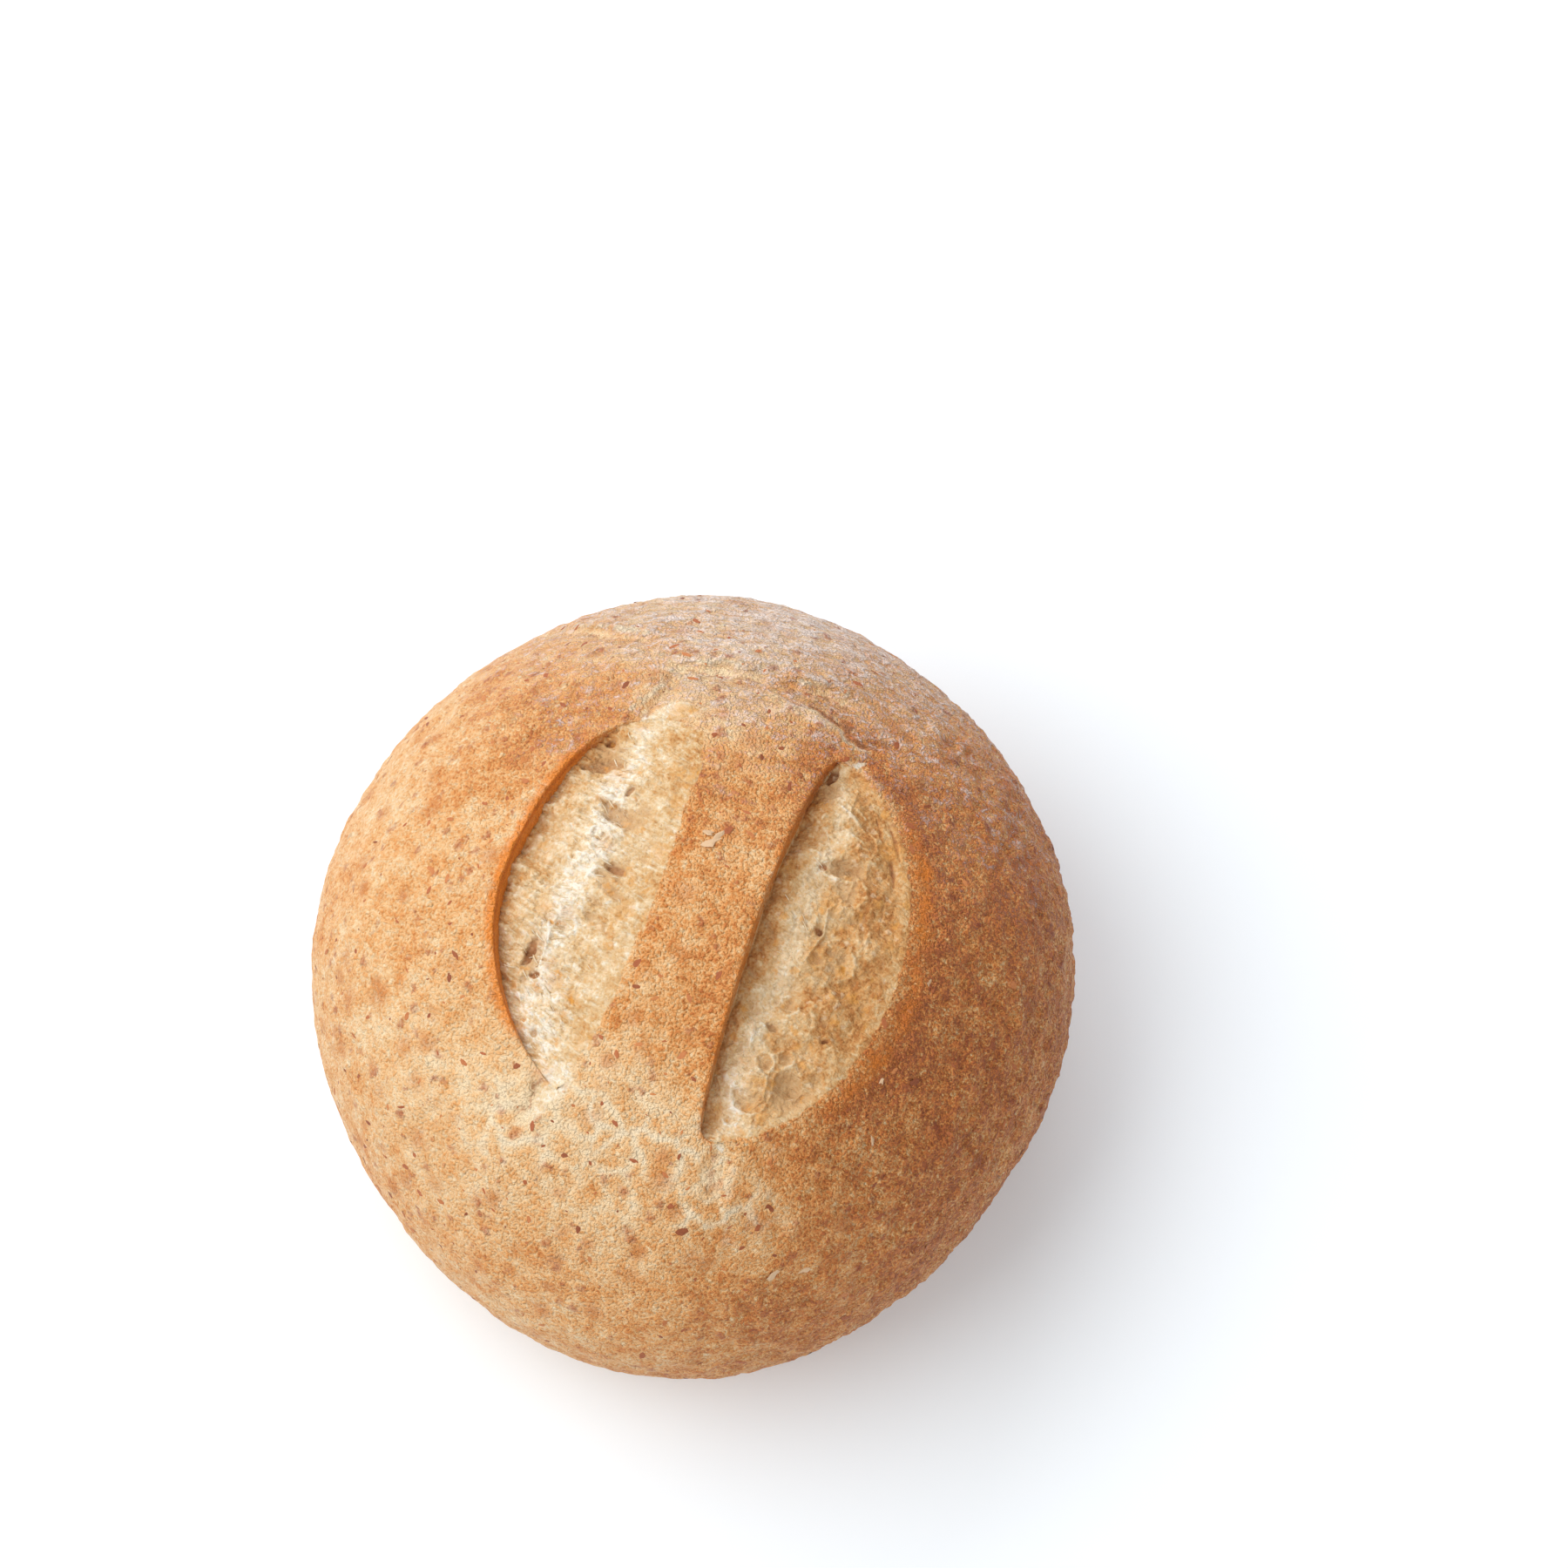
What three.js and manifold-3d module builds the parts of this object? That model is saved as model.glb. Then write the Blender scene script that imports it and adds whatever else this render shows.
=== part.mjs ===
// A round bran roll with two opened cuts across its crown, standing on its flat base.
// Millimetres, +Z up, the cuts run along Y. The origin is the middle of the base.
import * as THREE from 'three';
import { mergeVertices } from 'three/addons/utils/BufferGeometryUtils.js';
import Module from 'manifold-3d';

const wasm = await Module();
wasm.setup();

// Overall form: an oval dome that is widest low down and rounds in to a flat base
const dome = {
  radius: 45.8,
  height: 55,
  widestHeight: 22.5,
  baseShare: 0.62,
  crownPower: 2.1,
};

// How far the outline swells and pinches, as waves round the roll
const outlineWaves = [
  { count: 2, cosine: -1.2, sine: -0.4 },
  { count: 3, cosine: -0.3, sine: 0.32 },
  { count: 4, cosine: 0.29, sine: 0.47 },
];
const outlineShift = { x: 0.3, y: 0.34 };

// Shallow dents and swellings of the crown: wave length, heading in degrees, height
const crownWaves = [
  { length: 41, heading: 20, phase: 0.6, height: 0.34 },
  { length: 29, heading: 105, phase: 2.1, height: 0.26 },
  { length: 19, heading: 152, phase: 4.0, height: 0.16 },
];

// Each cut opens between a hard lip on the left and a soft edge on the right.
// Both are bows over the line from the low end to the top end, blunter with a smaller power.
// The fades are powers too: a larger one lets the cut run out more gently at that end.
const cuts = [
  {
    top: { x: -6.1, y: 19.3 },
    low: { x: -7.6, y: -26.0 },
    lip: { bow: 14.0, topPower: 0.34, lowPower: 0.8 },
    edge: { bow: 4.3, topPower: 0.2, lowPower: 0.5 },
    depth: 2.7,
    swell: 1.6,
    lipLean: 0.9,
    edgeStep: 0.12,
    topFade: 1.1,
    lowFade: 0.8,
  },
  {
    top: { x: 11.9, y: 20.8 },
    low: { x: 11.3, y: -26.9 },
    lip: { bow: 2.7, topPower: 0.43, lowPower: 0.2 },
    edge: { bow: 14.4, topPower: 0.57, lowPower: 0.6 },
    depth: 3.4,
    swell: 1.8,
    lipLean: 0.35,
    edgeStep: 0.5,
    topFade: 0.35,
    lowFade: 0.35,
  },
];

// Shares of a cut's width: where the soft edge steps down, and how far the wall under the lip leans in.
// The cutting shape runs on past the edge, where it rises clear of the crust.
const cutForm = { edgeStep: 0.2, wall: 0.33, past: 0.06, pastRise: 8, reach: 0.998, endPower: 3 };

// The crust swells up in a low bead beside the lips
const lipBead = { height: 0.45, width: 2.4, endPower: 4 };

// The opened crumb: uneven pillows and a few larger torn pits
const crumbWaves = [
  { length: 9.5, heading: 35, phase: 1.3, height: 0.3 },
  { length: 6.1, heading: 118, phase: 0.4, height: 0.24 },
  { length: 4.3, heading: 70, phase: 2.7, height: 0.16 },
];
const crumbPits = [
  { x: -14.6, y: -13.0, radius: 1.6, depth: 0.9 },
  { x: -8.2, y: -0.5, radius: 1.5, depth: 0.7 },
  { x: -8.0, y: 6.1, radius: 1.6, depth: 0.6 },
  { x: -13.9, y: 14.0, radius: 1.7, depth: 0.8 },
  { x: 16.5, y: 7.7, radius: 1.7, depth: 0.8 },
  { x: 17.9, y: -19.2, radius: 1.9, depth: 0.9 },
  { x: 11.9, y: 17.0, radius: 1.3, depth: 0.8 },
];

// Creases of the crust behind the cuts: a groove with a swelling on its far side
const creases = [
  { from: { x: -25.0, y: 32.0 }, to: { x: -15.0, y: 30.7 }, groove: 0.8, swell: 0.6, width: 1.1 },
  { from: { x: -9.0, y: 27.0 }, to: { x: -0.5, y: 28.2 }, groove: 0.7, swell: 0.6, width: 1.2 },
  { from: { x: 3.5, y: 28.4 }, to: { x: 10.0, y: 29.2 }, groove: 0.6, swell: 0.5, width: 1.2 },
  { from: { x: -11.6, y: 19.4 }, to: { x: -9.8, y: 24.6 }, groove: 0.8, swell: 0.2, width: 0.9 },
  { from: { x: -9.0, y: -26.0 }, to: { x: -10.6, y: -29.4 }, groove: 0.7, swell: 0.1, width: 1.1 },
  { from: { x: 12.4, y: -28.0 }, to: { x: 12.8, y: -32.0 }, groove: 0.5, swell: 0.1, width: 1.2 },
];
const creaseSwell = { place: 1.9, spread: 1.3 };

// The band of crust between the cuts ends in a torn flake that stands off the crown
const flake = {
  x: 5.0,
  y: 12.0,
  radius: 14.6,
  height: 0.75,
  edge: 0.8,
  fade: 9,
  from: 44,
  fromFade: 10,
  to: 125,
  toFade: 50,
};

// The relief of the crown fades out down the sides, over this share of the rise to the top
const reliefFade = 0.6;

// How finely the surfaces are divided
const turnSteps = 108;
const crownRings = { reach: 33, count: 23 };
const sideRings = 9;
const footRings = 7;
const cutSteps = { across: 14, along: 36 };
const mergeReach = 1e-4;

const crustLook = { color: 0xd9a066, roughness: 0.72, metalness: 0 };

function mix(a, b, share) {
  return a + (b - a) * share;
}

function smooth(share) {
  const s = Math.min(Math.max(share, 0), 1);
  return s * s * (3 - 2 * s);
}

// Radius of the widest outline in a direction round the roll
function outlineRadius(turn) {
  let radius = dome.radius;
  for (const wave of outlineWaves) {
    radius += wave.cosine * Math.cos(wave.count * turn) + wave.sine * Math.sin(wave.count * turn);
  }
  return radius;
}

// Height of the plain crown above a place, before its relief
function crownHeight(x, y) {
  const share = Math.hypot(x, y) / outlineRadius(Math.atan2(y, x));
  const rise = (1 - Math.min(share, 1) ** dome.crownPower) ** (1 / dome.crownPower);
  return dome.widestHeight + (dome.height - dome.widestHeight) * rise;
}

function waveHeight(waves, x, y) {
  let height = 0;
  for (const wave of waves) {
    const heading = THREE.MathUtils.degToRad(wave.heading);
    const run = x * Math.cos(heading) + y * Math.sin(heading);
    height += wave.height * Math.sin((2 * Math.PI * run) / wave.length + wave.phase);
  }
  return height;
}

// Distance from a place to a crease, positive on the crease's left, and how near its ends it is
function creasePlace(crease, x, y) {
  const runX = crease.to.x - crease.from.x;
  const runY = crease.to.y - crease.from.y;
  const length = Math.hypot(runX, runY);
  const along = ((x - crease.from.x) * runX + (y - crease.from.y) * runY) / length ** 2;
  const side = ((y - crease.from.y) * runX - (x - crease.from.x) * runY) / length;
  const past = Math.max(0, -along, along - 1) * length;
  return { side, fade: Math.exp(-((past / crease.width) ** 2)) };
}

function creaseHeight(x, y) {
  let height = 0;
  for (const crease of creases) {
    const { side, fade } = creasePlace(crease, x, y);
    const groove = Math.exp(-((side / crease.width) ** 2));
    const past = side / crease.width - creaseSwell.place;
    const swell = Math.exp(-((past / creaseSwell.spread) ** 2));
    height += fade * (crease.swell * swell - crease.groove * groove);
  }
  return height;
}

function flakeHeight(x, y) {
  const reach = Math.hypot(x - flake.x, y - flake.y);
  const turn = THREE.MathUtils.radToDeg(Math.atan2(y - flake.y, x - flake.x));
  const inside = flake.radius - reach;
  const within = smooth(inside / flake.edge) * smooth(1 - inside / flake.fade);
  const sweep = smooth((turn - flake.from) / flake.fromFade) * smooth((flake.to - turn) / flake.toFade);
  return flake.height * within * sweep;
}

// Where a cut's lip and its soft edge lie, at a share of its length from -1 (low) to 1 (top)
function cutSides(cut, along) {
  const x = mix(cut.low.x, cut.top.x, (along + 1) / 2);
  const y = mix(cut.low.y, cut.top.y, (along + 1) / 2);
  const open = Math.max(1 - along * along, 0);
  const lipPower = along > 0 ? cut.lip.topPower : cut.lip.lowPower;
  const edgePower = along > 0 ? cut.edge.topPower : cut.edge.lowPower;
  return { lipX: x - cut.lip.bow * open ** lipPower, edgeX: x + cut.edge.bow * open ** edgePower, y };
}

// Swelling of the crust along the lips, on their outer side
function beadHeight(x, y) {
  let height = 0;
  for (const cut of cuts) {
    const along = (2 * (y - cut.low.y)) / (cut.top.y - cut.low.y) - 1;
    if (Math.abs(along) < 1) {
      const away = cutSides(cut, along).lipX - x;
      const rise = Math.exp(-((away / lipBead.width) ** 2));
      height += lipBead.height * rise * (1 - along ** lipBead.endPower);
    }
  }
  return height;
}

function reliefHeight(x, y) {
  return waveHeight(crownWaves, x, y) + creaseHeight(x, y) + flakeHeight(x, y) + beadHeight(x, y);
}

// How far the crumb lies below the crown, across from the lip at 0 to the soft edge at 1
function crumbDrop(cut, across, along) {
  if (across > 1) {
    return (1 - across) * cutForm.pastRise;
  }
  const fade = along > 0 ? cut.topFade : cut.lowFade;
  const ends = Math.max(1 - Math.abs(along) ** cutForm.endPower, 0) ** fade;
  const step = cut.edgeStep * smooth((1 - across) / cutForm.edgeStep);
  return ends * (step + (cut.depth - cut.edgeStep) * (1 - across) ** cut.swell);
}

function pitDepth(x, y) {
  let depth = 0;
  for (const pit of crumbPits) {
    depth += pit.depth * Math.exp(-(((x - pit.x) ** 2 + (y - pit.y) ** 2) / pit.radius ** 2));
  }
  return depth;
}

// Side profile from the crown's middle, down round the widest part, to the middle of the base
function domeProfile() {
  const profile = [new THREE.Vector2(0, dome.height)];
  const rise = dome.height - dome.widestHeight;
  const rimTurn = Math.asin((crownRings.reach / dome.radius) ** (dome.crownPower / 2));
  const crownPoint = (turn) => {
    const share = Math.sin(turn) ** (2 / dome.crownPower);
    const height = dome.widestHeight + rise * Math.cos(turn) ** (2 / dome.crownPower);
    return new THREE.Vector2(dome.radius * share, height);
  };
  for (let ring = 1; ring <= crownRings.count; ring++) {
    const share = (crownRings.reach / dome.radius) * (ring / crownRings.count);
    profile.push(crownPoint(Math.asin(share ** (dome.crownPower / 2))));
  }
  for (let ring = 1; ring <= sideRings; ring++) {
    profile.push(crownPoint(mix(rimTurn, Math.PI / 2, ring / sideRings)));
  }
  for (let ring = 1; ring <= footRings; ring++) {
    const turn = ((Math.PI / 2) * ring) / footRings;
    const share = dome.baseShare + (1 - dome.baseShare) * Math.cos(turn);
    profile.push(new THREE.Vector2(dome.radius * share, dome.widestHeight * (1 - Math.sin(turn))));
  }
  profile.push(new THREE.Vector2(0, 0));
  return profile.reverse();
}

// A closed geometry as a solid that can be joined and cut
function solidOf(geometry) {
  geometry.deleteAttribute('normal');
  geometry.deleteAttribute('uv');
  const merged = mergeVertices(geometry, mergeReach);
  const corners = merged.index.array;
  const kept = [];
  for (let i = 0; i < corners.length; i += 3) {
    const [a, b, c] = [corners[i], corners[i + 1], corners[i + 2]];
    if (a !== b && b !== c && c !== a) {
      kept.push(a, b, c);
    }
  }
  return new wasm.Manifold(new wasm.Mesh({
    numProp: 3,
    vertProperties: new Float32Array(merged.attributes.position.array),
    triVerts: new Uint32Array(kept),
  }));
}

// The whole loaf shape before it is cut
function uncutRoll() {
  const geometry = new THREE.LatheGeometry(domeProfile(), turnSteps);
  geometry.rotateX(Math.PI / 2);
  const place = geometry.attributes.position;
  for (let i = 0; i < place.count; i++) {
    const turn = Math.atan2(place.getY(i), place.getX(i));
    const stretch = outlineRadius(turn) / dome.radius;
    const x = place.getX(i) * stretch;
    const y = place.getY(i) * stretch;
    const z = place.getZ(i);
    const share = smooth((z - dome.widestHeight) / (dome.height - dome.widestHeight) / reliefFade);
    place.setXYZ(i, x, y, z + reliefHeight(x, y) * share);
  }
  return solidOf(geometry);
}

// What a cut takes away: its underside is the crumb, its left side the wall under the lip
function cutSpace(cut) {
  const geometry = new THREE.BoxGeometry(1, 2, 1, cutSteps.across, cutSteps.along, 1);
  const place = geometry.attributes.position;
  const clear = dome.height + 3;
  for (let i = 0; i < place.count; i++) {
    const across = (place.getX(i) + 0.5) * (1 + cutForm.past);
    const along = cutForm.reach * Math.sin((place.getY(i) * Math.PI) / 2);
    const { lipX, edgeX, y } = cutSides(cut, along);
    const wallTop = mix(lipX, edgeX, across);
    const drop = crumbDrop(cut, across, along);
    const lean = cut.lipLean * Math.max(1 - across / cutForm.wall, 0) * Math.min(drop, 1);
    if (place.getZ(i) > 0) {
      place.setXYZ(i, wallTop - lean, y, clear);
    } else {
      const x = wallTop + lean;
      const uneven = waveHeight(crumbWaves, x, y) - pitDepth(x, y);
      const fade = smooth(Math.min(drop, 1));
      const crust = crownHeight(x, y) + reliefHeight(x, y);
      place.setXYZ(i, x, y, crust - drop + uneven * fade);
    }
  }
  return solidOf(geometry);
}

function geometryOf(solid) {
  const mesh = solid.getMesh();
  const geometry = new THREE.BufferGeometry();
  geometry.setAttribute('position', new THREE.BufferAttribute(mesh.vertProperties, 3));
  geometry.setIndex(new THREE.BufferAttribute(mesh.triVerts, 1));
  geometry.translate(outlineShift.x, outlineShift.y, 0);
  geometry.computeVertexNormals();
  return geometry;
}

let body = uncutRoll();
for (const cut of cuts) {
  body = body.subtract(cutSpace(cut));
}

const roll = new THREE.Mesh(geometryOf(body), new THREE.MeshStandardMaterial(crustLook));
roll.name = 'roll';

const bread = new THREE.Group();
bread.add(roll);

export default bread;
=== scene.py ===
# A round bran roll with two opened cuts across its crown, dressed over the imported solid.
import math
from types import SimpleNamespace

import bpy
import numpy as np
from mathutils import Matrix, Vector


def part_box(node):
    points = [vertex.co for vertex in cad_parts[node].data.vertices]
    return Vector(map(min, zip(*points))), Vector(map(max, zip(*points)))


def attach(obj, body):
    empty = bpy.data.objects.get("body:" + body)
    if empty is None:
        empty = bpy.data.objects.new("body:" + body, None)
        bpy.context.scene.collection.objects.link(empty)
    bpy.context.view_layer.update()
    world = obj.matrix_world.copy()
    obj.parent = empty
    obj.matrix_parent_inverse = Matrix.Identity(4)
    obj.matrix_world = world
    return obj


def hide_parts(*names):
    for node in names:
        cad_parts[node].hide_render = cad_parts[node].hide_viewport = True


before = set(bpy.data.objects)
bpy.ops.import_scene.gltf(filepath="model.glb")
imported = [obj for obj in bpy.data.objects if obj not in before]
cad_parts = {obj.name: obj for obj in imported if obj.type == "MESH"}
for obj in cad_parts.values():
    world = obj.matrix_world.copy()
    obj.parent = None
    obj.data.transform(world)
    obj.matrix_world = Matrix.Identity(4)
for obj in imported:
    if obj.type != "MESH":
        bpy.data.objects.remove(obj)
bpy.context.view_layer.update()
mm = 0.001  # shapes are worked out in millimetres and written in metres

# The dome: oval, widest low down, rounding in to a flat base
roll = {
    "radius": 45.8,
    "height": 55.0,
    "widestHeight": 22.5,
    "baseShare": 0.62,
    "crownPower": 2.1,
    "outlineWaves": [(2, -1.2, -0.4), (3, -0.3, 0.32), (4, 0.29, 0.47)],  # count, cosine, sine
    "crownWaves": [(41, 20, 0.6, 0.34), (29, 105, 2.1, 0.26), (19, 152, 4.0, 0.16)],
    "reliefFade": 0.6,  # share of the rise over which the crown's relief fades in
    "crownSpacing": 0.42,  # mesh spacing on the crown
    "sideSpacing": 0.56,
    "baseSpacing": 2.6,
    "seed": 7,
}

# Two cuts, each from a hard lip on the left to a soft edge on the right
cuts = {
    "left": {
        "top": (-6.1, 19.3),
        "low": (-7.6, -26.0),
        "lip": (14.0, 0.34, 0.8),  # bow, power at the top, power at the low end
        "edge": (4.3, 0.2, 0.5),
        "depth": 2.7,
        "swell": 1.6,
        "lean": 0.9,
        "rimReach": 0.9,  # how far the hard lip is rounded
        "undercut": 0.0,
        "edgeStep": 0.12,
        "fades": (1.1, 0.8),  # how gently the cut runs out at the top and at the low end
        "wallCrust": 2.5,  # how far down the wall the crust's colour goes
        "fibre": 0.4,  # depth of the torn strands
        "bubble": 0.14,  # depth of the hollows between thin walls
        "heading": -18,  # which way its strands run, degrees
        # whitest crumb: place, half width
        "pale": [(-7.8, 20.4, 1.5), (-10.2, 17.4, 1.8), (-12.0, 9.7, 1.9), (-11.2, 1.3, 2.0),
                 (-12.6, -3.8, 2.0), (-13.4, -11.3, 2.2), (-12.4, -19.6, 2.6), (-8.3, -25.2, 1.6)],
    },
    "right": {
        "top": (11.9, 20.8),
        "low": (11.3, -26.9),
        "lip": (2.7, 0.43, 0.2),
        "edge": (14.4, 0.57, 0.6),
        "depth": 3.4,
        "swell": 1.8,
        "lean": 0.35,
        "rimReach": 0.4,
        "undercut": 0.35,
        "edgeStep": 0.5,
        "fades": (0.35, 0.35),
        "wallCrust": 1.2,
        "fibre": 0.15,
        "bubble": 0.2,
        "heading": -38,
        "pale": [(12.6, 18.4, 1.2), (14.6, 12.6, 1.5), (13.3, 7.4, 1.0), (13.2, 1.6, 1.4), (13.2, -6.0, 1.5),
                 (12.0, -13.3, 1.5), (11.2, -20.0, 1.6), (13.0, -24.4, 1.4)],
    },
}
cutForm = {"edgeStep": 0.2, "wall": 0.33, "past": 0.06, "pastRise": 8.0, "reach": 0.998, "endPower": 3}
bedSteps = {"across": 9, "along": 210, "wall": 11, "under": 1.5}
crumbSteps = {"across": 126, "along": 380, "tuck": 0.6, "thick": 2.6}
lipBead = {"height": 0.45, "width": 2.4, "endPower": 4}

# Torn pits in the crumb: place, radius, depth
pits = [
    (-14.6, -13.0, 1.6, 0.9), (-8.2, -0.5, 1.5, 0.7), (-8.0, 6.1, 1.6, 0.6), (-13.9, 14.0, 1.7, 0.8),
    (16.5, 7.7, 1.7, 0.8), (17.9, -19.2, 1.9, 0.9), (11.9, 17.0, 1.3, 0.8),
]
crumbWaves = [(9.5, 35, 1.3, 0.3), (6.1, 118, 0.4, 0.24), (4.3, 70, 2.7, 0.16)]

# Creases of the crust: from, to, groove, swelling on the far side, width
creases = [
    ((-25.0, 32.0), (-15.0, 30.7), 0.8, 0.6, 1.1),
    ((-9.0, 27.0), (-0.5, 28.2), 0.7, 0.6, 1.2),
    ((3.5, 28.4), (10.0, 29.2), 0.6, 0.5, 1.2),
    ((-11.6, 19.4), (-9.8, 24.6), 0.8, 0.2, 0.9),
    ((-9.0, -26.0), (-10.6, -29.4), 0.7, 0.1, 1.1),
    ((12.4, -28.0), (12.8, -32.0), 0.5, 0.1, 1.2),
]
creaseSwell = {"place": 1.9, "spread": 1.3}
flake = {"x": 5.0, "y": 12.0, "radius": 14.6, "height": 0.75, "edge": 0.8, "fade": 9.0,
         "from": 44, "fromFade": 10, "to": 125, "toFade": 50}


# Repeatable noise on arrays of points
noiseRandom = np.random.default_rng(roll["seed"])
shuffled = np.tile(noiseRandom.permutation(256), 3)
slopes = noiseRandom.normal(size=(256, 3))
slopes /= np.linalg.norm(slopes, axis=1)[:, None]


def noise(points, size, seed=0):  # soft waves about -1..1, size apart
    spot = np.asarray(points) / size + seed * 17.31
    cell = np.floor(spot).astype(int)
    inner = spot - cell
    blend = inner ** 3 * (inner * (inner * 6 - 15) + 10)
    total = np.zeros(len(spot))
    for corner in np.ndindex(2, 2, 2):
        at = (cell + corner) & 255
        pick = shuffled[shuffled[shuffled[at[:, 0]] + at[:, 1]] + at[:, 2]]
        dot = (slopes[pick] * (inner - corner)).sum(1)
        weight = np.prod(np.where(corner, blend, 1 - blend), axis=1)
        total += weight * dot
    return total * 1.6


def layered(points, size, layers=3, seed=0, fall=0.5):
    total, height = 0, 1
    for layer in range(layers):
        total = total + height * noise(points, size / 2 ** layer, seed + layer)
        height *= fall
    return total


# Flat cells: distance to the nearest and to the second nearest seed point, and the nearest one's number
def cells(points, size, seed=0):
    spot = np.asarray(points)[:, :2] / size
    base = np.floor(spot).astype(int)
    best = np.full((len(spot), 2), 9.0)
    name = np.zeros(len(spot), int)
    for stepX in (-1, 0, 1):
        for stepY in (-1, 0, 1):
            at = base + (stepX, stepY)
            pick = shuffled[shuffled[(at[:, 0] + seed * 7) & 255] + (at[:, 1] & 255)]
            jitter = np.stack([shuffled[pick + 11], shuffled[pick + 83]], 1) / 255 * 0.8 + 0.1
            away = np.linalg.norm(at + jitter - spot, axis=1)
            nearer = away < best[:, 0]
            best[:, 1] = np.where(nearer, best[:, 0], np.minimum(best[:, 1], away))
            best[:, 0] = np.where(nearer, away, best[:, 0])
            name = np.where(nearer, pick, name)
    return best[:, 0] * size, best[:, 1] * size, name / 255


def mix(a, b, share):
    return a + (b - a) * share


def smooth(share):
    s = np.clip(share, 0, 1)
    return s * s * (3 - 2 * s)


# The roll's form, the same rules as its solid
def outlineRadius(turn):
    radius = roll["radius"] + 0 * turn
    for count, cosine, sine in roll["outlineWaves"]:
        radius = radius + cosine * np.cos(count * turn) + sine * np.sin(count * turn)
    return radius


def crownHeight(x, y):
    share = np.minimum(np.hypot(x, y) / outlineRadius(np.arctan2(y, x)), 1)
    rise = (1 - share ** roll["crownPower"]) ** (1 / roll["crownPower"])
    return roll["widestHeight"] + (roll["height"] - roll["widestHeight"]) * rise


def waveHeight(waves, x, y):
    height = 0
    for length, heading, phase, amount in waves:
        run = x * math.cos(math.radians(heading)) + y * math.sin(math.radians(heading))
        height = height + amount * np.sin(2 * math.pi * run / length + phase)
    return height


def creaseHeight(x, y):
    x, y = np.broadcast_arrays(np.atleast_1d(x).astype(float), y)
    height = 0
    ragged = 0.7 * layered(np.stack([x, y, 0 * x], 1), 2.6, 3, 57)
    for (fromX, fromY), (toX, toY), groove, swell, width in creases:
        runX, runY = toX - fromX, toY - fromY
        length = math.hypot(runX, runY)
        along = ((x - fromX) * runX + (y - fromY) * runY) / length ** 2
        side = ((y - fromY) * runX - (x - fromX) * runY) / length + ragged
        past = np.maximum(np.maximum(0, -along), along - 1) * length
        fade = np.exp(-((past / width) ** 2))
        far = (side / width - creaseSwell["place"]) / creaseSwell["spread"]
        height = height + fade * (swell * np.exp(-(far ** 2)) - groove * np.exp(-((side / width) ** 2)))
    return height


def flakeInside(x, y):  # distance in from the flake's torn, slightly ragged edge
    ragged = 1.1 * layered(np.stack([x, y, 0 * x], 1), 3.4, 3, 55, 0.6)
    return flake["radius"] - np.hypot(x - flake["x"], y - flake["y"]) + ragged


def flakeSweep(turn):  # the part of the circle that the flake's edge takes
    return smooth((turn - flake["from"]) / flake["fromFade"]) * smooth((flake["to"] - turn) / flake["toFade"])


def flakeHeight(x, y):
    x, y = np.broadcast_arrays(np.atleast_1d(x).astype(float), y)
    inside = flakeInside(x, y)
    turn = np.degrees(np.arctan2(y - flake["y"], x - flake["x"]))
    within = smooth(inside / flake["edge"]) * smooth(1 - inside / flake["fade"])
    return flake["height"] * within * flakeSweep(turn)


def cutSides(cut, along):
    x = mix(cut["low"][0], cut["top"][0], (along + 1) / 2)
    y = mix(cut["low"][1], cut["top"][1], (along + 1) / 2)
    gap = np.maximum(1 - along * along, 0)
    sides = []
    for bow, topPower, lowPower in (cut["lip"], cut["edge"]):
        sides.append(bow * gap ** np.where(along > 0, topPower, lowPower))
    return x - sides[0], x + sides[1], y


def cutAlong(cut, y):
    return 2 * (y - cut["low"][1]) / (cut["top"][1] - cut["low"][1]) - 1


def beadHeight(x, y):
    height = 0
    for cut in cuts.values():
        along = cutAlong(cut, y)
        away = cutSides(cut, along)[0] - x
        rise = np.exp(-((away / lipBead["width"]) ** 2))
        height = height + lipBead["height"] * rise * np.maximum(1 - np.abs(along) ** lipBead["endPower"], 0)
    return height


def reliefHeight(x, y):
    return waveHeight(roll["crownWaves"], x, y) + creaseHeight(x, y) + flakeHeight(x, y) + beadHeight(x, y)


def crumbDrop(cut, across, along):
    fade = np.where(along > 0, *cut["fades"])
    ends = np.maximum(1 - np.abs(along) ** cutForm["endPower"], 0) ** fade
    step = cut["edgeStep"] * smooth((1 - across) / cutForm["edgeStep"])
    belly = (cut["depth"] - cut["edgeStep"]) * np.maximum(1 - across, 0) ** cut["swell"]
    return np.where(across > 1, (1 - across) * cutForm["pastRise"], ends * (step + belly))


def pitDepth(x, y):
    depth = 0
    for pitX, pitY, radius, deep in pits:
        depth = depth + deep * np.exp(-(((x - pitX) ** 2 + (y - pitY) ** 2) / radius ** 2))
    return depth


# Small relief of the crust, by place on the dome
crustGrain = {"lump": (7.0, 0.2), "leather": (2.8, 0.16), "grain": (1.25, 0.17)}  # size, height


def crustGrainHeight(points):
    height = 0
    for number, (size, amount) in enumerate(crustGrain.values()):
        height = height + amount * noise(points, size, 20 + number)
    rough = smooth((points[:, 0] - 2) / 26) * smooth((52 - points[:, 2]) / 10)  # the browner side is craggier
    ridges = 1 - 2.4 * np.abs(noise(points, 1.9, 27))
    return height * (1 + 0.5 * rough) + 0.2 * rough * ridges


# Relief of the opened crumb: torn strands across the cut, and hollows between thin walls
crumbGrain = {"strand": 1.0, "thread": 0.52, "stretch": 3.6, "hollow": 3.1, "pore": 1.3}

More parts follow.
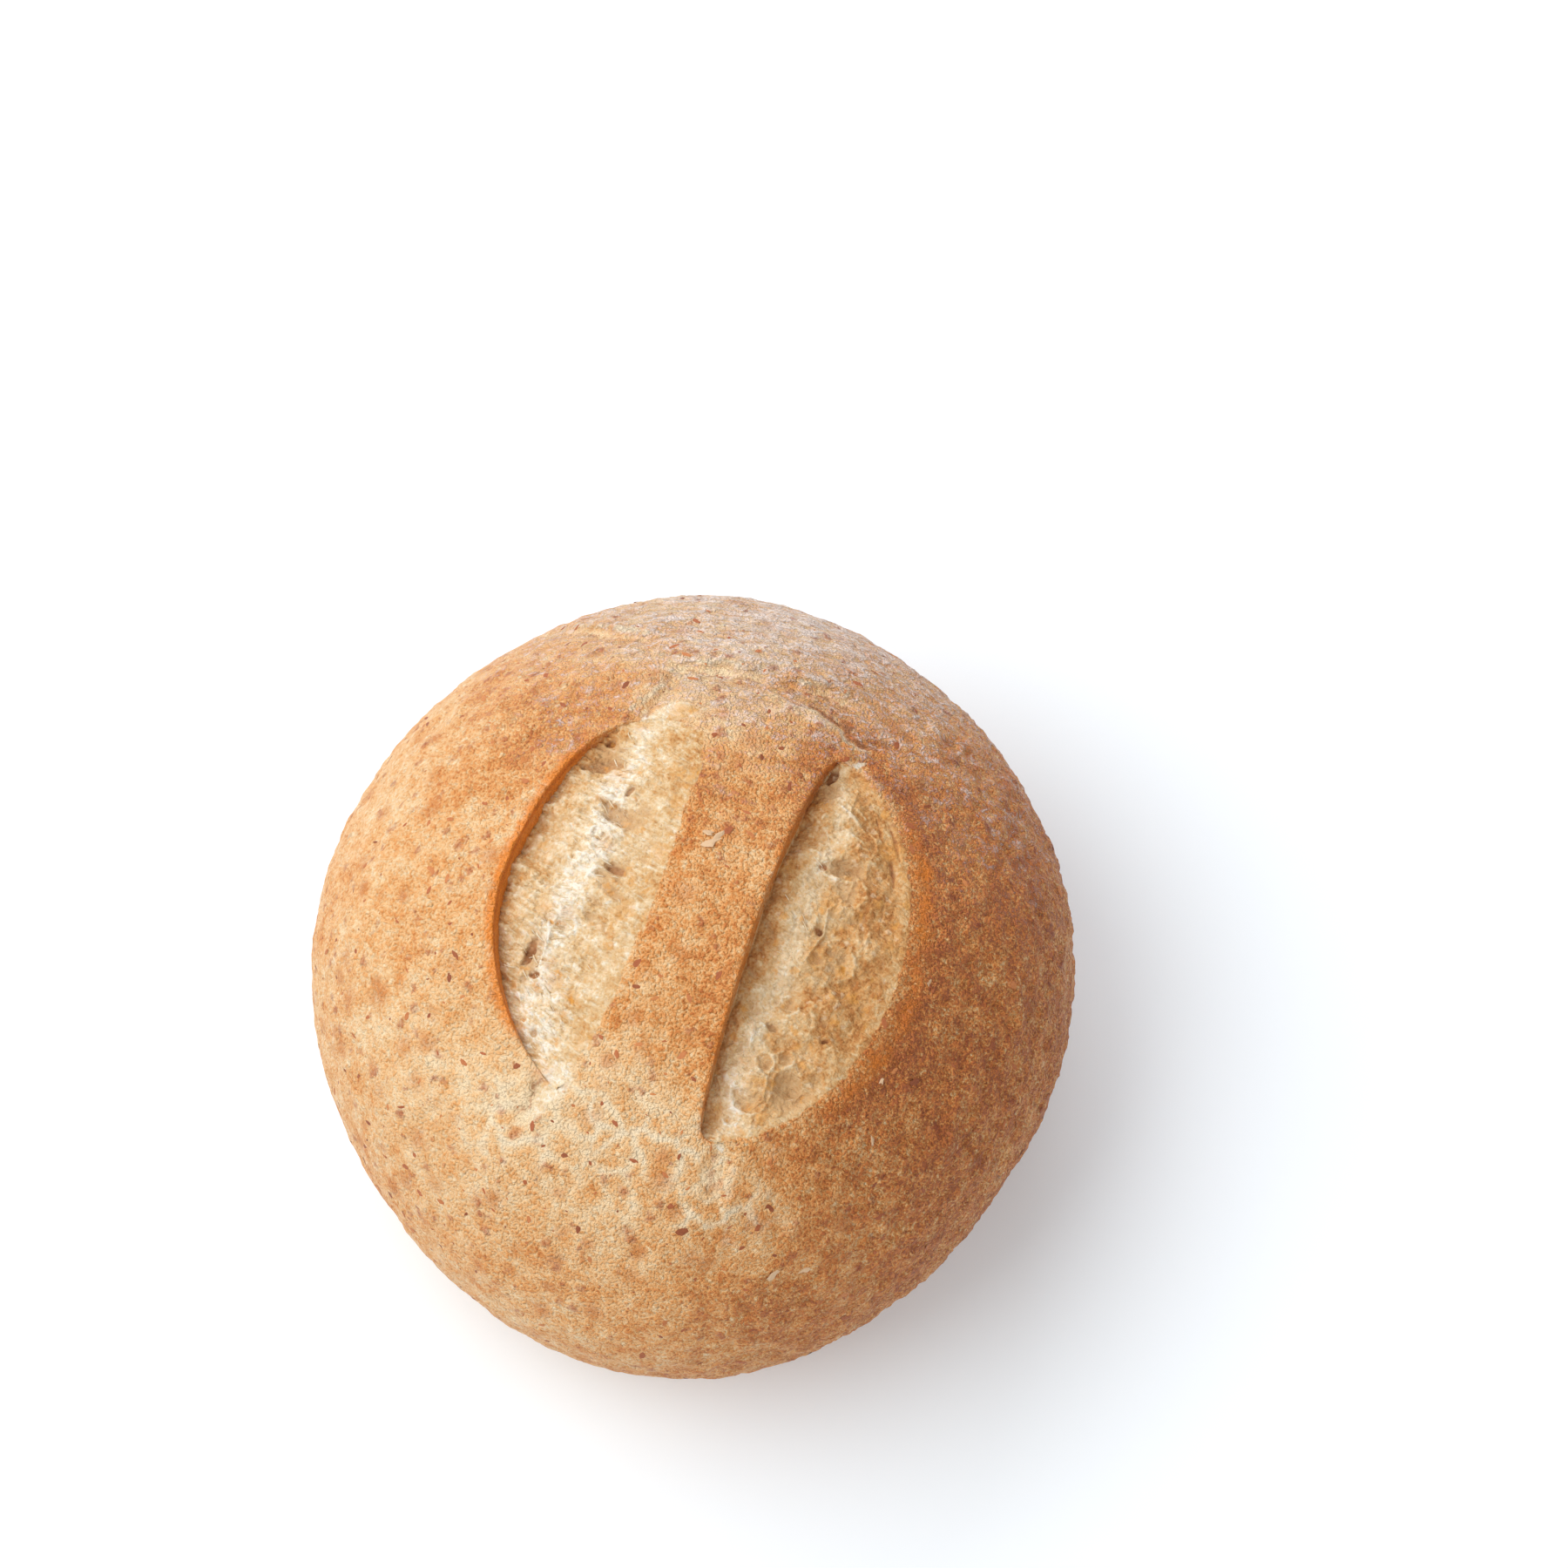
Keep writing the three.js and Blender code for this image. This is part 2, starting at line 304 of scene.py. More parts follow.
# Torn hollows: place, half length, half width, heading, depth, how dark their painted shade is
hollows = [
    (-15.1, -11.7, 1.5, 0.6, 80, 0.7, 0.85), (-13.8, -14.3, 0.6, 0.45, 0, 0.6, 1.0),
    (-10.0, 6.0, 2.9, 1.2, -30, 0.55, 0.4), (-8.4, -0.7, 1.4, 0.65, -18, 0.8, 0.7),
    (-8.2, -3.4, 1.9, 0.6, -28, 0.45, 0.38), (-9.5, -4.9, 1.8, 0.5, -30, 0.4, 0.34),
    (-8.6, -7.2, 2.2, 0.7, -32, 0.45, 0.34), (-14.2, 12.2, 2.6, 0.9, 12, 0.6, 0.55),
    (-14.2, 15.1, 0.7, 0.4, 30, 0.7, 1.0), (-9.9, 9.3, 0.7, 0.4, 60, 0.6, 0.6),
    (-9.8, -1.9, 1.0, 0.5, -25, 0.4, 0.3), (-11.9, -20.6, 0.5, 0.4, 0, 0.4, 0.6),
    (15.7, 8.0, 2.0, 0.8, 15, 0.6, 0.35), (13.8, 7.4, 0.5, 0.4, 0, 0.4, 0.9),
    (15.6, -0.2, 0.5, 0.5, 0, 0.6, 0.8), (16.3, -3.4, 1.0, 0.5, -40, 0.6, 0.4),
    (13.8, -12.5, 0.8, 0.45, -20, 0.5, 0.5), (19.9, -12.2, 0.45, 0.28, 25, 0.5, 1.0),
    (11.3, 19.0, 0.9, 0.6, 60, 0.8, 1.0), (19.9, 15.6, 0.7, 0.4, 40, 0.4, 0.7),
]
# Thin-walled bubbles: place, radius, depth
bubbles = [
    (17.4, -18.2, 1.7, 0.55), (16.4, -15.5, 1.0, 0.4), (13.7, -20.6, 2.3, 0.3), (17.4, 5.2, 2.1, 0.35),
    (18.7, -3.2, 2.0, 0.3), (14.9, -9.6, 1.2, 0.3), (14.2, -16.6, 1.1, 0.3), (12.4, -23.6, 1.0, 0.3),
    (-12.2, -8.2, 1.3, 0.35), (-11.6, 3.2, 1.1, 0.3),
]
# Raised torn edges: runs of place and half width
tornEdges = [
    [(12.7, 15.8, 0.1), (15.2, 14.6, 0.32), (18.2, 12.4, 0.1)],
    [(14.2, 16.4, 0.1), (16.4, 15.0, 0.26), (18.6, 13.6, 0.1)],
    [(14.6, 12.6, 0.1), (16.8, 11.9, 0.3), (18.7, 10.6, 0.1)],
    [(13.6, 6.6, 0.2), (15.6, 6.4, 0.36), (17.6, 6.6, 0.3), (17.4, 4.4, 0.2), (15.9, 2.4, 0.22),
     (16.2, -0.6, 0.26), (15.2, -4.2, 0.2), (16.2, -5.0, 0.1)],
    [(20.9, 13.6, 0.1), (22.0, 10.6, 0.2), (22.7, 7.6, 0.1)],
    [(12.0, -17.0, 0.1), (15.0, -18.2, 0.25), (15.4, -20.8, 0.2), (14.0, -22.6, 0.1)],
    [(-16.0, 9.6, 0.1), (-12.6, 10.9, 0.28), (-9.6, 10.6, 0.1)],
    [(-13.6, -13.4, 0.2), (-13.4, -9.8, 0.34), (-14.4, -7.4, 0.1)],
]
# Narrow clefts past the left cut's ends and at the right cut's edge, painted dark as shade: runs of place and
# half width
clefts = [
    [(-11.8, 19.2, 0.3), (-11.1, 21.2, 0.34), (-10.2, 23.0, 0.16), (-9.4, 25.2, 0.04)],
    [(-10.6, -25.4, 0.15), (-10.0, -26.4, 0.45), (-9.7, -27.3, 0.15)],
    [(-8.0, 21.6, 0.05), (-6.6, 22.9, 0.16), (-5.6, 23.2, 0.04)],
    [(-3.6, 22.6, 0.04), (-2.2, 22.5, 0.12), (-0.8, 23.3, 0.03)],
    [(17.0, 16.6, 0.05), (18.6, 14.0, 0.2), (20.0, 11.2, 0.05)],
    [(19.0, 15.6, 0.1), (20.6, 13.4, 0.4), (21.8, 11.2, 0.15)],
    [(20.9, 10.6, 0.4), (21.7, 9.0, 0.35), (22.2, 7.2, 0.05)],
    [(21.6, 5.6, 0.05), (21.9, 4.2, 0.2), (21.8, 2.8, 0.05)],
]


def markHeight(x, y):  # the hollows, bubbles and torn edges of the crumb, and how dark the painted shade in their bottoms is
    flat = np.stack([x, y, 0 * x], 1)
    ragged = 0.3 * layered(flat, 0.9, 2, 45)
    depth, brown, height = 0 * x, 0 * x, 0 * x
    for atX, atY, long, wide, heading, deep, dark in hollows:
        turn = math.radians(heading)
        run = (x - atX) * math.cos(turn) + (y - atY) * math.sin(turn)
        aside = (y - atY) * math.cos(turn) - (x - atX) * math.sin(turn)
        share = smooth((1.25 + ragged - np.hypot(run / long, aside / wide)) / 0.6)
        depth = np.maximum(depth, deep * share)
        brown = np.maximum(brown, dark * share)
    for atX, atY, radius, deep in bubbles:
        out = np.hypot(x - atX, y - atY) / radius + 0.25 * ragged - 1
        height = height + 0.2 * np.exp(-((out * radius / 0.22) ** 2)) - deep * smooth((0.05 - out) / 0.7)
    for run in tornEdges:
        height = height + 0.5 * runShare(x, y, run, 0.3 * ragged, 0.3)
    torn = cleftShare(x, y)
    return height - np.maximum(depth, 0.3 * torn), np.maximum(brown, torn)


def cleftShare(x, y):
    ragged = 0.12 * layered(np.stack([x, y, 0 * x], 1), 0.9, 2, 46)
    share = 0 * x
    for run in clefts:
        share = np.maximum(share, runShare(x, y, run, ragged, 0.5))
    return share


def crumbGrainHeight(cut, x, y):
    flat = np.stack([x, y, 0 * x], 1)
    bend = noise(flat, 6.0, 31)
    heading = math.radians(cut["heading"])
    run = (x * math.cos(heading) + y * math.sin(heading)) / crumbGrain["stretch"]
    aside = -x * math.sin(heading) + y * math.cos(heading) + 0.9 * bend
    strand = 1 - 2.4 * np.abs(noise(np.stack([run, aside, 0 * x], 1), crumbGrain["strand"], 33))
    thread = 1 - 2.4 * np.abs(noise(np.stack([run, aside, 0 * x + 5], 1), crumbGrain["thread"], 37))
    pushed = flat + np.stack([noise(flat, 2.6, 35), noise(flat, 2.6, 36), 0 * x], 1) * 1.5
    near, second, name = cells(pushed, crumbGrain["hollow"], 5)
    wall = np.exp(-(((second - near) / 0.4) ** 2))
    bowl = smooth(1 - near / 1.7) * (0.25 + 0.75 * name)
    close, following, other = cells(pushed, crumbGrain["pore"], 9)
    pore = smooth(1 - close / (0.3 + 0.35 * other)) * (other > 0.6)
    lumps = 0.2 * layered(flat, 2.2, 2, 41) + 0.2 * layered(flat, 0.62, 2, 43)
    fibre = cut["fibre"] * (0.6 * strand + 0.4 * thread)
    bubble = cut["bubble"] * (0.5 * wall - 1.1 * bowl - 0.9 * pore)
    return fibre + bubble + lumps + markHeight(x, y)[0]


# Torn places where crumb breaks through the crust, as runs of points: place and half width
tears = [
    [(-4.4, 22.0, 0.1), (-6.2, 21.4, 0.8), (-8.4, 20.6, 1.4), (-10.4, 18.8, 1.5), (-11.2, 16.4, 1.2)],
    [(-7.4, -24.2, 1.6), (-8.1, -26.6, 1.7), (-8.6, -28.4, 1.0), (-9.6, -30.4, 0.2)],
    [(11.6, -26.2, 0.5), (12.8, -28.4, 0.25), (12.2, -30.2, 0.2), (13.4, -32.6, 0.05)],
    [(11.9, 19.6, 0.8), (13.6, 21.0, 0.6), (14.8, 22.2, 0.1)],
]


def runShare(x, y, run, ragged, soften):  # 1 in the middle of a run, 0 past its ragged sides
    share = np.zeros(len(x))
    for (fromX, fromY, fromWide), (toX, toY, toWide) in zip(run, run[1:]):
        runX, runY = toX - fromX, toY - fromY
        along = np.clip(((x - fromX) * runX + (y - fromY) * runY) / (runX ** 2 + runY ** 2), 0, 1)
        away = np.hypot(x - fromX - along * runX, y - fromY - along * runY)
        wide = mix(fromWide, toWide, along)
        share = np.maximum(share, smooth((wide * (1 + soften) + ragged - away) / (0.3 + 2 * soften * wide)))
    return share


def tearShare(x, y):
    ragged = 0.75 * layered(np.stack([x, y, 0 * x], 1), 1.9, 3, 47)
    share = np.zeros(len(x))
    for tear in tears:
        share = np.maximum(share, runShare(x, y, tear, ragged, 0.45))
    return share


def skinGrainHeight(points, x, y):  # the crust's small relief, rougher where it is torn
    high = points[:, 2] > 40
    torn = tearShare(x, y) * high
    rough = crustGrainHeight(points) * (1 - 0.6 * torn)
    return rough + torn * (0.3 * layered(points, 1.6, 2, 49) - 0.12) - 0.3 * cleftShare(x, y) * high


def meshOf(name, points, faces):  # a closed skin as an object, with its faces turned outwards
    mesh = bpy.data.meshes.new(name)
    points = np.asarray(points, np.float32)
    faces = np.asarray(faces, np.int32)
    a, b, c = (points[faces[:, k]].astype(float) for k in range(3))
    if (a * np.cross(b, c)).sum() < 0:
        faces = faces[:, ::-1].copy()
    mesh.vertices.add(len(points))
    mesh.vertices.foreach_set("co", points.ravel())
    mesh.loops.add(faces.size)
    mesh.loops.foreach_set("vertex_index", faces.ravel())
    mesh.polygons.add(len(faces))
    mesh.polygons.foreach_set("loop_start", np.arange(len(faces), dtype=np.int32) * 3)
    mesh.update(calc_edges=True)
    mesh.validate()
    piece = bpy.data.objects.new(name, mesh)
    bpy.context.collection.objects.link(piece)
    return piece


def pointsOf(mesh):
    found = np.empty(len(mesh.vertices) * 3, np.float32)
    mesh.vertices.foreach_get("co", found)
    return found.reshape(-1, 3).astype(float)


def facesOf(mesh):
    mesh.calc_loop_triangles()
    found = np.empty(len(mesh.loop_triangles) * 3, np.int32)
    mesh.loop_triangles.foreach_get("vertices", found)
    return found.reshape(-1, 3)


def cornerNormals(points, faces):  # unit normals of the points
    a, b, c = (points[faces[:, k]] for k in range(3))
    flat = np.cross(b - a, c - a)
    total = np.zeros_like(points)
    for k in range(3):
        np.add.at(total, faces[:, k], flat)
    return total / np.maximum(np.linalg.norm(total, axis=1), 1e-12)[:, None]


# Triangles between two rings of points, each ring given by its first number and its count
def ringBand(first, firstCount, second, secondCount):
    faces = []
    i = j = 0
    while i < firstCount or j < secondCount:
        if j >= secondCount or (i < firstCount and (i + 1) / firstCount <= (j + 1) / secondCount):
            faces.append((first + i % firstCount, second + j % secondCount, first + (i + 1) % firstCount))
            i += 1
        else:
            faces.append((first + i % firstCount, second + j % secondCount, second + (j + 1) % secondCount))
            j += 1
    return faces


# The uncut dome, as rings from the crown's middle round the sides to the base
def domeSkin():
    turn = np.linspace(0, math.pi / 2, 900)
    rise = roll["height"] - roll["widestHeight"]
    crownShare = np.sin(turn) ** (2 / roll["crownPower"])
    crownLevel = roll["widestHeight"] + rise * np.cos(turn) ** (2 / roll["crownPower"])
    footShare = roll["baseShare"] + (1 - roll["baseShare"]) * np.cos(turn[1:])
    footLevel = roll["widestHeight"] * (1 - np.sin(turn[1:]))
    share = np.concatenate([crownShare, footShare, [0]])
    level = np.concatenate([crownLevel, footLevel, [0]])
    level[-2:] = 0
    steps = np.hypot(np.diff(share) * roll["radius"], np.diff(level))
    run = np.concatenate([[0], np.cumsum(steps)])
    footEnd = run[-2]
    stops = [0.0]
    while stops[-1] < run[-1]:
        here = stops[-1]
        gap = mix(roll["crownSpacing"], roll["sideSpacing"], smooth((here - 24) / 20))
        if here >= footEnd - 1e-6:
            gap = mix(roll["sideSpacing"], roll["baseSpacing"], smooth((here - footEnd) / 8))
        following = here + gap * 0.87
        if here < footEnd - 1e-6 < following:
            following = footEnd
        stops.append(following)
    stops = np.array([stop for stop in stops if stop < run[-1] - 0.6])
    points = [(0.0, 0.0, roll["height"])]
    rings = []
    for stop in stops[1:]:
        ringShare = np.interp(stop, run, share)
        ringLevel = np.interp(stop, run, level)
        gap = mix(roll["crownSpacing"], roll["sideSpacing"], smooth((stop - 24) / 20))
        if stop > footEnd:
            gap = mix(roll["sideSpacing"], roll["baseSpacing"], smooth((stop - footEnd) / 8))
        count = max(8, int(round(2 * math.pi * ringShare * roll["radius"] / gap)))
        around = (np.arange(count) + 0.5 * (len(rings) % 2)) / count * 2 * math.pi
        wide = outlineRadius(around) * ringShare
        rings.append((len(points), count))
        points.extend(zip(wide * np.cos(around), wide * np.sin(around), np.full(count, ringLevel)))
    faces = [(0, rings[0][0] + k, rings[0][0] + (k + 1) % rings[0][1]) for k in range(rings[0][1])]
    for (first, firstCount), (second, secondCount) in zip(rings, rings[1:]):
        faces.extend(ringBand(first, firstCount, second, secondCount))
    last, lastCount = rings[-1]
    middle = len(points)
    points.append((0.0, 0.0, 0.0))
    faces.extend((last + k, middle, last + (k + 1) % lastCount) for k in range(lastCount))
    return np.array(points, float), np.array(faces)


def formedDome():
    points, faces = domeSkin()
    x, y, z = points.T
    rise = roll["height"] - roll["widestHeight"]
    fade = smooth((z - roll["widestHeight"]) / rise / roll["reliefFade"])
    formed = points.copy()
    formed[:, 2] = z + reliefHeight(x, y) * fade
    normals = cornerNormals(formed, faces)
    formed += normals * (skinGrainHeight(formed, x, y) * smooth(z / 3.0))[:, None]
    formed[z <= 0, 2] = 0
    return formed, faces


# One cut's crumb and wall as a grid of points, each row running across the cut from its lip
def cutRows(cut, across, stations, grain):
    rows = []
    for along in stations:
        lipX, edgeX, y = cutSides(cut, along)
        level = y + 0 * across
        drop = crumbDrop(cut, across, along)
        lean = cut["lean"] * np.maximum(1 - across / cutForm["wall"], 0) * np.minimum(drop, 1)
        x = mix(lipX, edgeX, across) + lean
        uneven = waveHeight(crumbWaves, x, level) - pitDepth(x, level)
        z = crownHeight(x, level) + reliefHeight(x, level) - drop + uneven * smooth(np.minimum(drop, 1))
        rows.append(np.stack([x, level, z, drop], 1))
    rows = np.array(rows)
    if grain:
        x, y, z, drop = rows.reshape(-1, 4).T
        inwards = np.tile(np.clip((1 - across) / 0.14, 0, 1), len(rows))
        open_ = smooth(drop / 0.9) * smooth(inwards)
        skin = skinGrainHeight(rows[:, :, :3].reshape(-1, 3), x, y)
        rows[:, :, 2] += mix(skin, crumbGrainHeight(cut, x, y), open_).reshape(rows.shape[:2])
    return rows


# A closed skin through loops of points that all have the same count, with flat ends
def loftFaces(loopCount, loop):
    a = (np.arange(loopCount - 1)[:, None] * loop + np.arange(loop)).ravel()
    b = (np.arange(loopCount - 1)[:, None] * loop + (np.arange(loop) + 1) % loop).ravel()
    sides = np.concatenate([np.stack([a, b, b + loop], 1), np.stack([a, b + loop, a + loop], 1)])
    fan = np.stack([np.zeros(loop - 2, int), np.arange(1, loop - 1), np.arange(2, loop)], 1)
    return np.concatenate([sides, fan[:, ::-1], fan + (loopCount - 1) * loop])


# What one cut takes out of the crust: the wall under the lip, and a bed a little below the crumb
def cutSpace(cut):
    stations = cutForm["reach"] * np.sin(np.linspace(-1, 1, bedSteps["along"] + 1) * math.pi / 2)
    across = np.concatenate([np.linspace(0, 0.975, bedSteps["across"]), [1, 1 + cutForm["past"]]])
    up = np.linspace(1.6, 0, bedSteps["wall"], endpoint=False)
    clear = roll["height"] + 3
    loops = []
    for row in cutRows(cut, across, stations, False):
        x, y, z, drop = row.T
        z = z - bedSteps["under"] * smooth((1 - across) / 0.02) + skinGrainHeight(row[:, :3], x, y)
        lipX = cutSides(cut, cutAlong(cut, y[0]))[0]
        crust = crownHeight(lipX, y[0]) + reliefHeight(lipX, y[0])
        wallX = mix(lipX, x[0], np.maximum(1 - up, 0)) - cut["undercut"] * np.sin(np.minimum(up, 1) * math.pi)
        wallX = np.where(up > 1, lipX - 0.5 * (up - 1) * (x[0] - lipX), wallX)
        wall = np.stack([wallX, y[0] + 0 * up, mix(z[0], crust, up)], 1)
        wall[:, 0] += 0.16 * noise(wall, 1.9, 51) * smooth(1.3 - up)
        ends = [(wall[0, 0], y[0], clear)], [(x[-1], y[0], clear)]
        loops.append(np.concatenate([ends[0], wall, np.stack([x, y, z], 1), ends[1]]))
    loops = np.array(loops)
    return loops.reshape(-1, 3), loftFaces(len(loops), loops.shape[1])


# The opened crumb of one cut: a slab that lies in the bed and runs a little way in under the crust
def crumbSlab(cut):
    stations = cutForm["reach"] * np.sin(np.linspace(-1, 1, crumbSteps["along"] + 1) * math.pi / 2)
    across = np.concatenate([np.linspace(0, 1, crumbSteps["across"] + 1), [1.008, 1.03]])
    rows = cutRows(cut, across, stations, True)[:, :, :3]
    rows[:, -2, 2] -= (across[-2] - 1) * cutForm["pastRise"] + 0.02
    rows[:, -1, 2] -= (across[-1] - 1) * cutForm["pastRise"] + 0.5
    tuck = rows[:, :1].copy()
    tuck[:, 0, 0] -= crumbSteps["tuck"]
    tuck[:, 0, 2] -= 0.1
    under = np.concatenate([rows[:, -1:], tuck], axis=1)
    under[:, :, 2] -= crumbSteps["thick"]
    loops = np.concatenate([tuck, rows, under], axis=1)
    ends = []
    for k, side in ((0, -1), (-1, 1)):
        end = loops[k].copy()
        end[:, 1] += side * crumbSteps["tuck"]
        end[:, 2] -= 0.6
        ends.append(end)
    loops = np.concatenate([ends[:1], loops, ends[1:]])
    return loops.reshape(-1, 3), loftFaces(len(loops), loops.shape[1])


def settled(piece, name):  # the piece with its modifiers applied, as a plain mesh
    graph = bpy.context.evaluated_depsgraph_get()
    mesh = bpy.data.meshes.new_from_object(piece.evaluated_get(graph), preserve_all_data_layers=True,
                                           depsgraph=graph)
    mesh.name = name
    return mesh


def discard(piece):
    mesh = piece.data
    bpy.data.objects.remove(piece)
    bpy.data.meshes.remove(mesh)


def cutRoll():
    body = meshOf("roll_crust", *formedDome())
    print("dome:", len(body.data.polygons), "triangles")
    cutters = []
    for name, cut in cuts.items():
        cutter = meshOf("cut_" + name, *cutSpace(cut))
        taken = body.modifiers.new("cut_" + name, "BOOLEAN")
        taken.operation = "DIFFERENCE"
        taken.solver = "MANIFOLD"
        taken.object = cutter
        cutters.append(cutter)
    mesh = settled(body, "roll_crust")
    points, faces = pointsOf(mesh), facesOf(mesh)
    for cutter in cutters:
        discard(cutter)
    discard(body)
    bpy.data.meshes.remove(mesh)
    return points, faces


# Rounds the sharp rims that cutting leaves, by letting points near them settle between their neighbours
def roundRims(points, faces, rounds=5):
    near = np.zeros(len(points), bool)
    for cut in cuts.values():
        toLip, toEdge = cutPlace(cut, points[:, 0], points[:, 1])
        near |= (np.abs(toLip) < cut["rimReach"]) & (points[:, 2] > 35)
    links = np.concatenate([faces[:, [0, 1]], faces[:, [1, 2]], faces[:, [2, 0]]])
    links = np.concatenate([links, links[:, ::-1]])
    links = links[near[links[:, 0]]]
    count = np.bincount(links[:, 0], minlength=len(points)).astype(float)
    for _ in range(rounds):
        total = np.zeros_like(points)
        np.add.at(total, links[:, 0], points[links[:, 1]])
        middle = total[near] / count[near][:, None]
        points[near] += 0.5 * (middle - points[near])
    return points


# Distances into a cut from its lip and from its soft edge, negative outside
def cutPlace(cut, x, y, samples=220):
    along = np.sin(np.linspace(-1, 1, samples) * math.pi / 2)
    lipX, edgeX, level = cutSides(cut, along)
    inside = np.zeros(len(x), bool)
    spot = cutAlong(cut, y)
    within = np.abs(spot) < 1
    nowLip, nowEdge, _ = cutSides(cut, np.clip(spot, -1, 1))
    inside = within & (x > nowLip) & (x < nowEdge)
    found = []
    for sideX in (lipX, edgeX):
        away = np.full(len(x), 99.0)
        close = np.flatnonzero((np.abs(x - sideX.mean()) < 24) & (np.abs(y - level.mean()) < 34))
        startX, startY = sideX[:-1], level[:-1]
        runX, runY = np.diff(sideX), np.diff(level)
        for chunk in np.array_split(close, max(1, len(close) // 8000)):
            gapX, gapY = x[chunk, None] - startX, y[chunk, None] - startY
            share = np.clip((gapX * runX + gapY * runY) / (runX ** 2 + runY ** 2), 0, 1)
            away[chunk] = np.sqrt((gapX - share * runX) ** 2 + (gapY - share * runY) ** 2).min(1)
        found.append(np.where(inside, away, -away))
    return found


def bump(value, middle, spread):
    return np.exp(-(((value - middle) / spread) ** 2))


def paint(piece, **values):  # writes values on the points for the materials to read
    for name, value in values.items():
        layer = piece.data.attributes.new(name, "FLOAT", "POINT")
        layer.data.foreach_set("value", np.asarray(value, np.float32))


# How far the crust is baked, from pale cream at 0 to dark brown at 1, as soft patches:
# middle, reach along and across, amount
bake = {
    "plain": 0.39,
    "rightSide": 0.37,
    "underside": 0.3,
    "patches": [
        (1.0, -31.0, 18.0, 6.5, -0.22),
        (-8.5, -26.5, 5.0, 4.0, -0.20),
        (13.0, -30.0, 7.0, 5.0, -0.10),
        (-6.0, 20.5, 6.0, 4.0, -0.2),
        (-2.5, 12.0, 2.2, 8.0, 0.1),
        (9.5, 16.0, 2.0, 5.0, 0.12),
        (-19.0, -27.0, 12.0, 9.0, -0.10),
        (-36.0, 2.0, 10.0, 16.0, -0.07),
        (3.0, 3.0, 5.0, 20.0, 0.06),
        (30.0, -12.0, 7.0, 14.0, 0.07),
        (2.0, -38.0, 16.0, 6.0, -0.05),
        (3.0, -22.0, 4.0, 5.0, -0.06),
        (-22.0, 18.0, 12.0, 10.0, 0.18),
        (28.0, -30.0, 12.0, 12.0, -0.1),
    ],
}
# Places of painted sheen, the pale pinkish grazing reflection on the top and back: middle, reach along and
# across, amount
sheenPatches = [(-1.0, 42.0, 32.0, 20.0, 1.0), (30.0, 24.0, 12.0, 12.0, 0.26), (-19.0, 16.0, 6.0, 7.0, 0.3),
                (-3.0, 25.0, 10.0, 4.5, 0.7)]
sideSheen = {"from": 34.0, "to": 12.0, "amount": 0.15}  # painted sheen on the steep right side
# Where the fine pale net shows: middle, reach along and across
netPatches = [(8.0, -32.0, 12.0, 5.0), (-10.0, -30.0, 8.0, 4.4), (-1.0, -30.0, 9.0, 4.0)]


def patch(x, y, middleX, middleY, reachX, reachY):
    return np.exp(-(((x - middleX) / reachX) ** 2 + ((y - middleY) / reachY) ** 2))


def crustBaking(points):
    x, y, z = points.T
    baked = bake["plain"] + bake["rightSide"] * smooth((x + 4) / 40)
    for middleX, middleY, reachX, reachY, amount in bake["patches"]:
        baked = baked + amount * patch(x, y, middleX, middleY, reachX, reachY)
    baked = baked + bake["underside"] * smooth((7 - z) / 7)
    return baked + 0.06 * layered(points, 16, 2, 61)


def creaseShare(x, y, out=0.0, wide=0.55):  # 1 along the creases' grooves, or a little out from them
    share = 0 * x
    ragged = 0.7 * layered(np.stack([x, y, 0 * x], 1), 2.6, 3, 57)
    for (fromX, fromY), (toX, toY), groove, swell, width in creases:
        runX, runY = toX - fromX, toY - fromY
        length = math.hypot(runX, runY)
        along = ((x - fromX) * runX + (y - fromY) * runY) / length ** 2
        side = ((y - fromY) * runX - (x - fromX) * runY) / length + ragged - out * width
        past = np.maximum(np.maximum(0, -along), along - 1) * length
        near = np.exp(-((np.hypot(side, past) / (wide * width)) ** 2))
        share = np.maximum(share, min(1, groove / 0.6) * near)
    return share


def flakeEdge(x, y, out=0.0, wide=0.5):  # 1 along the torn flake's edge
    away = -flakeInside(x, y) - out
    turn = np.degrees(np.arctan2(y - flake["y"], x - flake["x"]))
    return flakeSweep(turn) * np.exp(-((away / wide) ** 2))


# The colours round a cut: the rims of its lip and of its soft edge, the painted shade on the lip's wall, what
# more the crust beside it is baked, how much crumb shows, and how toasted that is
cutLook = {
    "left": {
        "lipEnds": (0.66, 0.26),  # where along the cut the lip's glow runs out, and over how much
        "glow": (0.85, 1.7, 1.5),  # share, how far out it starts, over how much it grows
        "wall": 2.2,  # how far in from the lip the wall reaches
        # painted shade, darkest a little way down the lip's wall
        "shadedCore": (0.95, 0.7, 0.5),  # share, how far down the wall, spread
        "edgeRim": 0.3,
        "border": 0.12,
        "tone": 0.5,
        "nearLip": 0.16,
        "farSide": 0.06,
        "highEnd": 0.16,
        "pale": 0.38,
    },
    "right": {
        "wall": 1.2,
        "shadedCore": (0.8, 0.9, 0.6),
        "edgeRim": 0.56,
        "border": 0.2,
        "tone": 0.64,
        "nearLip": 0.16,
        "farSide": 0.2,
        "edgePale": 0.12,
        "lowEnd": 0.18,
        "pale": 0.36,
    },
}
tornTone = 0.22
crownFrom = 33  # above this the crust belongs to the crown, with its cuts and creases


